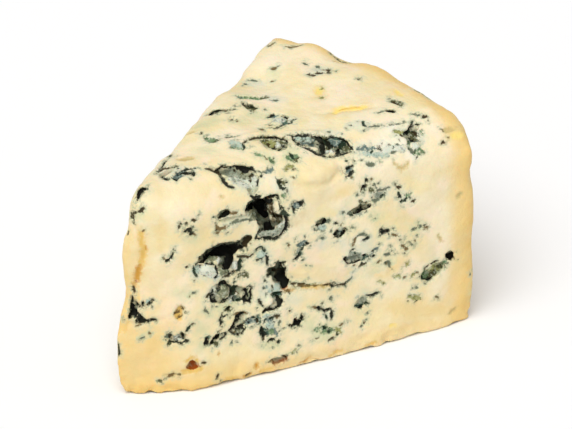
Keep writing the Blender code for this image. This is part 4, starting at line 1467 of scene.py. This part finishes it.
@dataclass(frozen=True)
class Growth:
    """Clusters of mould that are strewn over a side between two corners."""

    BENDS = 3
    SWERVE = 0.9
    LARGEST = 5.0

    side: Side
    low: Place
    high: Place
    clusters: int
    specks: int
    halos: tuple[Pigment, ...]
    fills: tuple[Pigment, ...]
    lines: tuple[Pigment, ...]
    seed: int

    def somewhere(self, rng: random.Random) -> Place:
        """A place by chance between the corners."""
        return (rng.uniform(self.low[0], self.high[0]), rng.uniform(self.low[1], self.high[1]))

    def wiggle(self, rng: random.Random, start: Place, length: float) -> tuple[Place, ...]:
        """A crooked run of places.

        Args:
            rng: The source of chance.
            start: The first place.
            length: How far the run goes, in millimetres.

        Returns:
            The run's places.
        """
        heading = rng.uniform(0.0, math.tau)
        run = [start]
        for _ in range(self.BENDS):
            heading += rng.uniform(-self.SWERVE, self.SWERVE)
            run.append(onward(run[-1], heading, length / self.BENDS))
        return tuple(run)

    def marks(self) -> list[Mark]:
        """The marks of all the clusters and specks."""
        rng = random.Random(self.seed)
        made = []
        for _ in range(self.clusters):
            middle = self.somewhere(rng)
            size = rng.uniform(0.5, 1.0) ** 2 * self.LARGEST
            halo = rng.choice(self.halos)
            made.append(Mark(halo, size * 0.45, self.wiggle(rng, middle, size)))
            fill = rng.choice(self.fills)
            made.append(Mark(fill, size * 0.14 + 0.2, self.wiggle(rng, middle, size * 0.7)))
            for _ in range(rng.randint(1, 3)):
                near = astray(rng, middle, size * 0.3)
                width = rng.uniform(0.22, 0.5) + size * 0.04
                run = self.wiggle(rng, near, size * rng.uniform(0.4, 1.1))
                made.append(Mark(rng.choice(self.lines), width, run))
        for _ in range(self.specks):
            place = self.somewhere(rng)
            run = self.wiggle(rng, place, rng.uniform(0.2, 1.6))
            made.append(Mark(rng.choice(self.lines), rng.uniform(0.2, 0.4), run))
        return made


# Specks of the fringe: their pigments, how far they lie from a mark, their half width
# and how far they spread, in millimetres; narrower marks have none
FRINGE_PIGMENTS = (INK, PINE, PINE, SMOKE, SMOKE, UMBER, BARK)
FRINGE_AWAY = (0.3, 1.2)
FRINGE_WIDTH = (0.02, 0.16)
FRINGE_SPREAD = 0.35
FRINGED_FROM = 0.3


def fringe(marks: tuple[Mark, ...], seed: int) -> list[Mark]:
    """Fine specks strewn round the wider marks of mould and ink.

    Args:
        marks: The marks.
        seed: What starts the chance.

    Returns:
        The specks, as marks of the same side.
    """
    rng = random.Random(seed)
    made = []
    for mark in marks:
        if mark.pigment.layer not in (Layer.MOULD, Layer.INK) or mark.half_width < FRINGED_FROM:
            continue
        for place in mark.points:
            for _ in range(rng.choice((0, 1, 1))):
                heading = rng.uniform(0.0, math.tau)
                away = mark.half_width + rng.uniform(*FRINGE_AWAY)
                middle = onward(place, heading, away)
                end = astray(rng, middle, FRINGE_SPREAD)
                pigment = rng.choice(FRINGE_PIGMENTS)
                made.append(Mark(pigment, rng.uniform(*FRINGE_WIDTH), (middle, end)))
    return made


VEINS = (INK, PINE, SMOKE, INK, UMBER, BLACK_MOULD_AND_SHADE, BARK)
GROWTHS = (
    Growth(Side.BACK, (14.0, 5.0), (98.0, 52.0), 80, 90, (HAZE, SAGE, HAZE, MILK),
           (FROST, MINT, SLATE, ASH, TEAL, MOSS), VEINS, 11),
    Growth(Side.RIND, (-32.0, 5.0), (33.0, 54.0), 10, 90, (SAGE, STRAW, FAWN),
           (LICHEN, MOSS, TAN), (BARK, UMBER, SMOKE, TAN), 23),
)


@dataclass(frozen=True)
class Tile:
    """A side's place on the colour sheet: its lowest corner, its size, and its scale."""

    corner: Place
    start: Place
    scale: float
    sideways: bool = False


# The colour sheet's width, in the tiles' own units
SHEET = 218.0
TILES = {
    Side.FRONT: Tile((1.0, 1.0), (3.0, -2.0), 1.3),
    Side.RIND: Tile((137.0, 1.0), (-38.0, -2.0), 0.95),
    Side.TOP: Tile((1.0, 82.0), (3.0, -2.0), 1.25),
    Side.BACK: Tile((128.0, 82.0), (3.0, -2.0), 0.86),
    Side.BASE: Tile((128.0, 137.0), (3.0, -2.0), 0.45),
    Side.TIP: Tile((1.0, 180.0), (-8.0, -2.0), 1.3, sideways=True),
}


# Where the paste ripens, in millimetres from where it starts to where it is yellowest:
# low on the tip, along the foot, and by the rind
TIP_RIPE_ALONG = (30.0, 9.0)
TIP_RIPE_UP = (52.0, 6.0)
FOOT_RIPE_ALONG = (70.0, 15.0)
FOOT_RIPE_UP = (11.0, 0.0)
RIND_RIPE_REACH = (91.0, 99.5)
# How yellow it is there, as a share, and how much yellower the tip's own face is
TIP_RIPENESS = 0.8
FOOT_RIPENESS = 0.45
RIND_RIPENESS = 0.95
TIP_FACE_RIPENESS = 0.35


@dataclass
class CheeseWedge:
    """The wedge: its shape, its mould and its finish. Grains are in millimetres."""

    step: float = 0.42 * MM
    smoothing: int = 3
    hidden_share: float = 0.59
    ragged_hollow: float = 0.7
    ragged_lump: float = 0.4
    coarse_ragged: float = 3.4 * MM
    fine_ragged: float = 1.3 * MM
    foot_rounding: float = 1.2 * MM
    foot_grain: float = 4.5
    foot_flattened: float = 0.12 * MM
    crumbled_height: float = 6.0
    crumb_grain: float = 3.4
    crumb_depth: float = 1.6
    grains: tuple[tuple[float, float], ...] = ((6.0, 0.3), (2.2, 0.12))
    terrain: Terrain | None = None
    item: bpy.types.Object | None = None

    def lobe(self, side: Side, lobe: Lobe, sunk: float, ragged: float) -> bpy.types.Object:
        """Make one rounded, ragged lens.

        Args:
            side: The side it lies in.
            lobe: Its place and sizes.
            sunk: How far its middle lies below the side, in millimetres.
            ragged: Its raggedness, as a share of its smallest size.

        Returns:
            The lens.
        """
        chart = CHARTS[side]
        turn = math.radians(lobe.turn)
        length_way = chart.along * math.cos(turn) + chart.across * math.sin(turn)
        breadth_way = chart.across * math.cos(turn) - chart.along * math.sin(turn)
        depth_way = length_way.cross(breadth_way)
        sizes = (lobe.length / 2 * MM, lobe.breadth / 2 * MM, lobe.depth * MM)
        axes = [way * size for way, size in zip((length_way, breadth_way, depth_way), sizes)]
        middle, _ = self.terrain.anchor(side, lobe.place)
        bpy.ops.mesh.primitive_ico_sphere_add(subdivisions=4, radius=1.0)
        item = bpy.context.object
        frame = Matrix(axes).transposed().to_4x4()
        item.matrix_world = Matrix.Translation(middle - chart.out * sunk * MM) @ frame
        bpy.ops.object.transform_apply(location=True, rotation=True, scale=True)
        add_waves(item, self.coarse_ragged, min(sizes) * ragged)
        add_waves(item, self.fine_ragged, min(sizes) * ragged * 0.4)
        return item

    def combine(self, other: bpy.types.Object, operation: str) -> None:
        """Join a lens to the wedge or cut it away."""
        modify(self.item, "BOOLEAN", operation=operation, solver="MANIFOLD", object=other)
        bpy.data.objects.remove(other, do_unlink=True)

    def round_foot(self, points: np.ndarray, heights: np.ndarray, normals: np.ndarray) -> None:
        """Round the edge between the sides and the base, and make the base flat.

        Args:
            points: The wedge's points, which are moved.
            heights: Their heights over the blank's surface, in millimetres.
            normals: The way the blank's surface looks near each.
        """
        grain = np.array([noise.noise(Vector(row) / MM / self.foot_grain) for row in points])
        radius = self.foot_rounding * np.clip(0.8 + grain, 0.3, 1.4)
        inward = radius + np.clip(heights * MM, -radius, 0.0)
        upward = radius - np.clip(points[:, 2], 0.0, radius)
        length = np.hypot(inward, upward)
        outside = (length > radius) & (normals[:, 2] > -0.5)
        share = np.where(outside, 1.0 - radius / np.maximum(length, 1e-9), 0.0)
        flat = normals * np.array([1.0, 1.0, 0.0])
        points -= flat * (inward * share)[:, None]
        points[:, 2] += upward * share
        points[points[:, 2] < self.foot_flattened, 2] = 0.0

    def thin_hidden_sides(self) -> None:
        """Keep fewer triangles on the back, the rind and the base."""
        points = read_points(self.item.data)
        _, _, normals = self.terrain.read(points)
        hidden = {FLAT_SIDES.index(side) for side in (Side.BACK, Side.RIND, Side.BASE)}
        group = self.item.vertex_groups.new(name="hidden")
        chosen = np.flatnonzero(np.isin(sides_of(normals), list(hidden)))
        group.add(chosen.tolist(), 1.0, "REPLACE")
        modify(self.item, "DECIMATE", ratio=self.hidden_share, vertex_group=group.name)
        self.item.vertex_groups.clear()

    def mesh(self) -> bpy.types.Object:
        """Build the wedge's shape and lay its marks."""
        self.item = WedgeBlank().mesh()
        self.item.name = "blue_cheese_wedge"
        self.item.data.name = "blue_cheese_wedge"
        self.terrain = Terrain(self.item)
        make_active(self.item)
        bpy.ops.object.mode_set(mode="EDIT")
        slice_off(Vector((0.0, 0.0, 0.0)), -UP)
        bpy.ops.object.mode_set(mode="OBJECT")
        for hollow in HOLLOWS:
            for lobe in hollow.lobes:
                lens = self.lobe(hollow.side, lobe, 0.0, self.ragged_hollow)
                self.combine(lens, "DIFFERENCE")
        for lump in LUMPS:
            lens = self.lobe(lump.side, lump.lobe, lump.sunk, self.ragged_lump)
            self.combine(lens, "UNION")
        LOG.info("hollows and lumps: %d faces", len(self.item.data.polygons))
        modify(self.item, "REMESH", mode="VOXEL", voxel_size=self.step)
        modify(self.item, "SMOOTH", factor=0.5, iterations=self.smoothing)
        LOG.info("fine surface: %d faces", len(self.item.data.polygons))
        self.thin_hidden_sides()
        self.finish_surface()
        return self.item

    def finish_surface(self) -> None:
        """Lay the marks, press the relief in and keep what the finish reads."""
        mesh = self.item.data
        points = read_points(mesh)
        sources, heights, normals = self.terrain.read(points)
        sides = sides_of(normals)
        on_base = sides == FLAT_SIDES.index(Side.BASE)
        painter = Painter(self.terrain, sources)
        for number, (side, marks) in enumerate(MARKS.items()):
            painter.lay(side, marks)
            painter.lay(side, fringe(marks, number))
        for growth in GROWTHS:
            painter.lay(growth.side, growth.marks())
        relief = self.relief(painter, points)
        relief[on_base] = 0.0
        outward = read_normals(mesh)
        points += outward * relief[:, None] * MM
        self.round_foot(points, heights, normals)
        mesh.vertices.foreach_set("co", points.astype(np.float32).ravel())
        mesh.update()
        painter.store(mesh)
        # How deep a point lies in a hollow; the finish darkens the paste by it, as mould lining and
        # painted shade
        depth = np.where(on_base, 0.0, np.clip(-heights, 0.0, 12.0))
        store_value(mesh, "hollow", depth)
        store_value(mesh, "ripe", self.ripeness(sources, sides))
        self.lay_out(mesh, points, sides)

    def relief(self, painter: Painter, points: np.ndarray) -> np.ndarray:
        """Work out how far the surface swells or sinks, in millimetres.

        Args:
            painter: What keeps the places and the marks.
            points: The wedge's points.

        Returns:
            The swelling at each point.
        """
        swell = np.zeros(len(points))
        for ridge in RIDGES:
            line = [self.terrain.anchor(ridge.side, place)[0] for place in ridge.points]
            gaps = np.maximum(line_gaps(painter.sources, line, 0.0), 0.0)
            swell += ridge.height * np.exp(-((gaps / ridge.half_width * 1.6) ** 2))
        for sunk in painter.fields.values():
            swell -= sunk.carve
        for number, row in enumerate(points):
            point = Vector(row) / MM
            swell[number] += sum(noise.noise(point / size) * height for size, height in self.grains)
            if point.z < self.crumbled_height:
                crumble = max(noise.noise(point / self.crumb_grain + UP * 9.0) + 0.05, 0.0)
                fade = 1.0 - point.z / self.crumbled_height
                swell[number] -= crumble * fade * self.crumb_depth
        return swell

    def ripeness(self, sources: np.ndarray, sides: np.ndarray) -> np.ndarray:
        """How yellow the paste is at each point: most at the tip, the foot and the rind.

        Args:
            sources: The points' places on the blank's surface.
            sides: The side each belongs to.

        Returns:
            The share of yellow, 0 to 1.
        """
        local = (sources - np.array(WHEEL_CENTRE)) / MM
        along = local @ np.array(ALONG)
        reach = np.hypot(local[:, 0], local[:, 1])
        height = local[:, 2]
        tip = smooth_step(*TIP_RIPE_ALONG, along) * smooth_step(*TIP_RIPE_UP, height)
        foot = FOOT_RIPENESS + (1.0 - FOOT_RIPENESS) * smooth_step(*FOOT_RIPE_ALONG, along)
        foot *= smooth_step(*FOOT_RIPE_UP, height)
        rind = smooth_step(*RIND_RIPE_REACH, reach)
        amount = np.maximum.reduce((tip * TIP_RIPENESS, foot, rind * RIND_RIPENESS))
        amount[sides == FLAT_SIDES.index(Side.TIP)] += TIP_FACE_RIPENESS
        amount[sides == FLAT_SIDES.index(Side.BASE)] = 1.0
        amount[sides == FLAT_SIDES.index(Side.RIND)] = 1.0
        return np.clip(amount, 0.0, 1.0)

    def lay_out(self, mesh: bpy.types.Mesh, points: np.ndarray, sides: np.ndarray) -> None:
        """Lay the sides out side by side on the colour sheet.

        Args:
            mesh: The wedge's mesh.
            points: Its points.
            sides: The side each point belongs to.
        """
        places = np.zeros((len(FLAT_SIDES), len(points), 2))
        for number, side in enumerate(FLAT_SIDES):
            chart = CHARTS[side]
            tile = TILES[side]
            local = (points - np.array(chart.origin)) / MM
            if side is Side.RIND:
                across = np.arctan2(local[:, 1], local[:, 0]) * WHEEL_RADIUS / MM
                up = local[:, 2]
            else:
                across = local @ np.array(chart.along)
                up = local @ np.array(chart.across)
            place = np.column_stack((across, up)) - np.array(tile.start)
            if tile.sideways:
                place = place[:, ::-1]
            places[number] = (place * tile.scale + np.array(tile.corner)) / SHEET
        corners = np.zeros(len(mesh.loops), np.int32)
        mesh.loops.foreach_get("vertex_index", corners)
        totals = np.zeros(len(mesh.polygons), np.int32)
        starts = np.zeros(len(mesh.polygons), np.int32)
        mesh.polygons.foreach_get("loop_total", totals)
        mesh.polygons.foreach_get("loop_start", starts)
        owner = np.repeat(sides[corners[starts]], totals)
        layer = mesh.uv_layers.new(name="OFBake")
        layer.data.foreach_set("uv", places[owner, corners].astype(np.float32).ravel())

    def dress(self) -> None:
        """Give the wedge its finish and its place in the frame."""
        make_active(self.item)
        bpy.ops.object.shade_smooth()
        self.item.data.materials.clear()
        self.item.data.materials.append(PasteFinish().material())
        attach(self.item, "root")
        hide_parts("cheese_wedge")


def read_points(mesh: bpy.types.Mesh) -> np.ndarray:
    """A mesh's points, in metres."""
    points = np.zeros(len(mesh.vertices) * 3)
    mesh.vertices.foreach_get("co", points)
    return points.reshape(-1, 3)


def read_normals(mesh: bpy.types.Mesh) -> np.ndarray:
    """The way a mesh looks at each of its points."""
    normals = np.zeros(len(mesh.vertices) * 3, np.float32)
    mesh.vertex_normals.foreach_get("vector", normals)
    return normals.reshape(-1, 3)


def store_value(mesh: bpy.types.Mesh, name: str, values: np.ndarray) -> None:
    """Keep one number for each of a mesh's points."""
    held = mesh.attributes.new(name, "FLOAT", "POINT")
    held.data.foreach_set("value", values.astype(np.float32))


Socket = bpy.types.NodeSocket


class Wiring:
    """Short ways to add and join the nodes of a material."""

    def __init__(self, name: str) -> None:
        self.material = bpy.data.materials.new(name)
        self.material.use_nodes = True
        self.tree = self.material.node_tree
        self.shader = self.tree.nodes["Principled BSDF"]
        self.coordinates = self.tree.nodes.new("ShaderNodeTexCoord").outputs["Object"]

    def feed(self, socket: Socket, source: "Socket | float | tuple") -> None:
        """Join an output to an input, or set the input to a constant."""
        if isinstance(source, bpy.types.NodeSocket):
            self.tree.links.new(source, socket)
        else:
            socket.default_value = source

    def attribute(self, name: str) -> bpy.types.Node:
        """A node that reads one of the mesh's attributes."""
        node = self.tree.nodes.new("ShaderNodeAttribute")
        node.attribute_name = name
        return node

    def noise(self, size: float, detail: float = 2.0) -> Socket:
        """Soft noise, 0 to 1, with a grain size in metres."""
        node = self.tree.nodes.new("ShaderNodeTexNoise")
        node.inputs["Scale"].default_value = 1.0 / size
        node.inputs["Detail"].default_value = detail
        self.tree.links.new(self.coordinates, node.inputs["Vector"])
        return node.outputs["Fac"]

    def math(self, operation: str, first: "Socket | float", second: "Socket | float") -> Socket:
        """One sum of two numbers."""
        node = self.tree.nodes.new("ShaderNodeMath")
        node.operation = operation
        self.feed(node.inputs[0], first)
        self.feed(node.inputs[1], second)
        return node.outputs[0]

    def ease(self, value: Socket, low: float, high: float, ends: Place = (0.0, 1.0)) -> Socket:
        """Ease a number from one end to the other as it runs from low to high.

        Args:
            value: The number.
            low, high: Where the ease starts and stops.
            ends: What it gives at the start and the stop.

        Returns:
            The eased number.
        """
        node = self.tree.nodes.new("ShaderNodeMapRange")
        node.interpolation_type = "SMOOTHSTEP"
        self.feed(node.inputs["Value"], value)
        for name, number in zip(("From Min", "From Max", "To Min", "To Max"), (low, high, *ends)):
            node.inputs[name].default_value = number
        return node.outputs["Result"]

    def sway(self, value: Socket, amount: float) -> Socket:
        """A noise turned into a sway of an amount to both sides of zero."""
        return self.math("MULTIPLY", self.math("SUBTRACT", value, 0.5), amount)

    def shake(self, value: "Socket | float", grain: Socket, amount: float) -> Socket:
        """A number that a noise shifts by an amount to both sides."""
        return self.math("ADD", value, self.sway(grain, amount))

    def mix(self, share: Socket, low: "Socket | tuple", high: "Socket | tuple") -> Socket:
        """Mix two colours, with as much of the second as the share says."""
        node = self.tree.nodes.new("ShaderNodeMix")
        node.data_type = "RGBA"
        self.feed(node.inputs["Factor"], share)
        self.feed(node.inputs["A"], low)
        self.feed(node.inputs["B"], high)
        return node.outputs["Result"]

    def tint(self, colour: "Socket | tuple", tone: Colour, value: Socket, low: float,
             high: float, most: float = 1.0) -> Socket:
        """Blend a tone into a colour as a number runs from low to high.

        Args:
            colour: The colour.
            tone: The tone.
            value: The number.
            low, high: Where the tone starts and where it is strongest.
            most: The tone's share there.

        Returns:
            The tinted colour.
        """
        return self.mix(self.ease(value, low, high, (0.0, most)), colour, opaque(tone))


def opaque(colour: Colour) -> tuple[float, float, float, float]:
    """A colour with full cover."""
    return (*colour, 1.0)


@dataclass(frozen=True)
class Grains:
    """The noises that the finish shares, from the finest to the broadest."""

    fine: Socket
    middle: Socket
    patch: Socket
    cloud: Socket
    broad: Socket


@dataclass(frozen=True)
class Spread:
    """How a layer's marks fade out, in millimetres, and the most they cover."""

    edge: float
    middle_sway: float
    fine_sway: float
    cover: float
    patch_sway: float = 0.0


SPREADS = {
    Layer.BLOOM: Spread(2.1, 2.6, 0.8, 0.7, 4.0),
    Layer.STAIN: Spread(0.7, 1.8, 0.9, 0.99),
    Layer.MOULD: Spread(0.3, 1.7, 1.0, 0.95),
    Layer.INK: Spread(0.17, 1.0, 0.6, 0.97),
}


@dataclass(frozen=True)
class PasteFinish:
    """The creamy paste, its yellow rind side and the mould that grows in it."""

    paste: Colour = linear(246, 233, 198)
    deep: Colour = linear(238, 219, 168)
    cool: Colour = linear(226, 220, 186)
    blush: Colour = linear(250, 229, 205)
    straw: Colour = linear(240, 222, 160)
    ripe: Colour = linear(240, 206, 132)
    crust: Colour = linear(226, 190, 112)
    # Hollow walls by depth: grey-olive mould lining with painted shade that deepens to near-black
    shade_and_mould_wall: Colour = linear(146, 140, 112)
    deep_shade_and_mould: Colour = linear(62, 58, 38)
    bloom: Colour = linear(198, 205, 176)
    shade: Colour = linear(122, 133, 102)
    down: Colour = linear(206, 212, 190)
    spore: Colour = linear(44, 58, 44)
    roughness: float = 0.5
    mould_roughness: float = 0.18
    specular: float = 0.22
    bump: float = 0.6
    bump_height: float = 0.3 * MM
    fine_bump: float = 0.35
    glow: float = 0.12
    glow_depth: float = 1.2 * MM

    def material(self) -> bpy.types.Material:
        """Build the finish."""
        wires = Wiring("cheese_paste")
        grains = Grains(
            fine=wires.noise(0.45 * MM, 3.0),
            middle=wires.noise(1.1 * MM, 3.0),
            patch=wires.noise(4.5 * MM, 3.0),
            cloud=wires.noise(8.0 * MM, 2.0),
            broad=wires.noise(15.0 * MM, 3.0),
        )
        reads = {layer: wires.attribute(layer.value) for layer in Layer}
        colour = self.halo(wires, self.plain(wires, grains), reads, grains)
        rough = wires.shake(self.roughness, grains.patch, 0.3)
        for layer, spread in SPREADS.items():
            share = self.share(wires, reads[layer].outputs["Alpha"], spread, grains)
            growth = reads[layer].outputs["Color"]
            if layer is Layer.MOULD:
                growth = self.marble(wires, growth, grains)
            colour = wires.mix(share, colour, growth)
            if layer in (Layer.MOULD, Layer.INK):
                rougher = wires.math("MULTIPLY", share, self.mould_roughness)
                rough = wires.math("ADD", rough, rougher)
        wires.feed(wires.shader.inputs["Base Color"], colour)
        wires.feed(wires.shader.inputs["Roughness"], rough)
        wires.feed(wires.shader.inputs["Specular IOR Level"], self.specular)
        wires.feed(wires.shader.inputs["Normal"], self.crumbly(wires, grains))
        wires.feed(wires.shader.inputs["Subsurface Weight"], self.glow)
        wires.feed(wires.shader.inputs["Subsurface Scale"], self.glow_depth)
        return wires.material

    def crumbly(self, wires: Wiring, grains: Grains) -> Socket:
        """Make the finest grain of the surface, as its bumps."""
        heights = wires.math("MULTIPLY", grains.fine, self.fine_bump)
        heights = wires.math("ADD", heights, grains.middle)
        bump = wires.tree.nodes.new("ShaderNodeBump")
        bump.inputs["Strength"].default_value = self.bump
        bump.inputs["Distance"].default_value = self.bump_height
        wires.feed(bump.inputs["Height"], heights)
        return bump.outputs["Normal"]

    def plain(self, wires: Wiring, grains: Grains) -> Socket:
        """Colour the paste without its mould: yellow where ripe, and in the hollows greyer, then
        near-black, the deeper they go: mould lining with painted shade.

        Args:
            wires: The material.
            grains: The noises.

        Returns:
            The paste's colour.
        """
        colour = wires.tint(opaque(self.paste), self.deep, grains.broad, 0.35, 0.7)
        colour = wires.tint(colour, self.cool, grains.patch, 0.5, 0.75, 0.35)
        colour = wires.tint(colour, self.blush, grains.cloud, 0.52, 0.68, 0.55)
        colour = wires.tint(colour, self.straw, grains.cloud, 0.46, 0.3, 0.5)
        ripe = wires.shake(wires.attribute("ripe").outputs["Fac"], grains.patch, 0.6)
        colour = wires.tint(colour, self.ripe, ripe, 0.0, 1.0)
        colour = wires.tint(colour, self.crust, ripe, 0.85, 1.15, 0.7)
        # Painted shade with the mould lining: the paste greys and then darkens with depth in a
        # hollow
        hollow = wires.shake(wires.attribute("hollow").outputs["Fac"], grains.middle, 2.4)
        colour = wires.tint(colour, self.shade_and_mould_wall, hollow, 0.5, 1.8, 0.85)
        return wires.tint(colour, self.deep_shade_and_mould, hollow, 1.6, 4.0, 0.92)

    def halo(self, wires: Wiring, colour: Socket, reads: dict[Layer, bpy.types.Node],
             grains: Grains) -> Socket:
        """Tint the paste green-grey close to the mould and the dark lines.

        Args:
            wires: The material.
            colour: The paste's colour.
            reads: The nodes that read the layers.
            grains: The noises.

        Returns:
            The tinted colour.
        """
        ink = reads[Layer.INK].outputs["Alpha"]
        gap = wires.math("MINIMUM", reads[Layer.MOULD].outputs["Alpha"], ink)
        gap = wires.shake(gap, grains.middle, 3.0)
        gap = wires.shake(gap, grains.fine, 1.4)
        colour = wires.tint(colour, self.bloom, gap, 1.5, 0.1, 0.48)
        return wires.tint(colour, self.shade, gap, 0.5, 0.0, 0.4)

    def share(self, wires: Wiring, gap: Socket, spread: Spread, grains: Grains) -> Socket:
        """Find how far a layer covers the paste, with frayed edges.

        Args:
            wires: The material.
            gap: How far off the layer's nearest mark is.
            spread: How the marks fade out.
            grains: The noises.

        Returns:
            The layer's share, 0 to 1.
        """
        gap = wires.shake(gap, grains.middle, spread.middle_sway)
        gap = wires.shake(gap, grains.fine, spread.fine_sway)
        if spread.patch_sway:
            gap = wires.shake(gap, grains.patch, spread.patch_sway)
        return wires.ease(gap, spread.edge, -spread.edge, (0.0, spread.cover))

    def marble(self, wires: Wiring, colour: Socket, grains: Grains) -> Socket:
        """Marble the mould with paler and darker grains.

        Args:
            wires: The material.
            colour: The mould's colour.
            grains: The noises.

        Returns:
            The marbled colour.
        """
        grain = wires.shake(grains.middle, grains.fine, 0.8)
        colour = wires.tint(colour, self.down, grain, 0.52, 0.68, 0.5)
        return wires.tint(colour, self.spore, grain, 0.47, 0.3, 0.5)


@dataclass(frozen=True)
class Studio:
    """A plain white floor, soft light and the camera, in metres and degrees."""

    target: tuple[float, float, float] = (0.00905, -0.0003, 0.0300)
    azimuth: float = -45.8
    elevation: float = 30.36
    distance: float = 1.1644
    lens: float = 289.5
    nearest: float = 0.05
    sky: float = 0.41
    sun_way: tuple[float, float, float] = (-0.46, -0.21, 0.87)
    sun_power: float = 2.34
    sun_spread: float = 46.0
    sun_colour: Colour = (1.0, 0.985, 0.96)
    floor_size: float = 6.0
    floor_gap: float = 0.2 * MM
    floor_colour: Colour = (0.96, 0.965, 0.98)
    floor_roughness: float = 0.9

    def floor(self) -> None:
        """Lay a white floor just under the wedge."""
        bpy.ops.mesh.primitive_plane_add(size=self.floor_size, location=-UP * self.floor_gap)
        item = bpy.context.object
        item.name = "floor"
        material = bpy.data.materials.new("floor")
        material.use_nodes = True
        shader = material.node_tree.nodes["Principled BSDF"]
        shader.inputs["Base Color"].default_value = opaque(self.floor_colour)
        shader.inputs["Roughness"].default_value = self.floor_roughness
        item.data.materials.append(material)

    def lights(self) -> None:
        """Set the sky and the lamp."""
        scene = bpy.context.scene
        world = bpy.data.worlds.new("sky")
        world.use_nodes = True
        sky = world.node_tree.nodes["Background"]
        sky.inputs["Color"].default_value = (1.0, 1.0, 1.0, 1.0)
        sky.inputs["Strength"].default_value = self.sky
        scene.world = world
        scene.view_settings.view_transform = "Standard"
        way = Vector(self.sun_way)
        bpy.ops.object.light_add(type="SUN", location=Vector(self.target) + way)
        item = bpy.context.object
        item.name = "soft_light"
        item.data.energy = self.sun_power
        item.data.angle = math.radians(self.sun_spread)
        item.data.color = self.sun_colour
        item.rotation_euler = way.to_track_quat("Z", "Y").to_euler()

    def camera(self) -> None:
        """Aim the camera at the wedge's front cut and its tip."""
        azimuth = math.radians(self.azimuth)
        elevation = math.radians(self.elevation)
        back = Vector((
            math.sin(azimuth) * math.cos(elevation),
            -math.cos(azimuth) * math.cos(elevation),
            math.sin(elevation),
        ))
        bpy.ops.object.camera_add(location=Vector(self.target) + back * self.distance)
        item = bpy.context.object
        item.rotation_euler = back.to_track_quat("Z", "Y").to_euler()
        item.data.lens = self.lens
        item.data.clip_start = self.nearest
        bpy.context.scene.camera = item

    def build(self) -> None:
        """Build the whole studio."""
        self.floor()
        self.lights()
        self.camera()


def main() -> None:
    """Build the wedge and its studio."""
    logging.basicConfig(level=logging.INFO, format="%(relativeCreated)6d ms  %(message)s")
    wedge = CheeseWedge()
    item = wedge.mesh()
    wedge.dress()
    LOG.info("%s: %d faces", item.name, len(item.data.polygons))
    Studio().build()


if __name__ == "__main__":
    main()
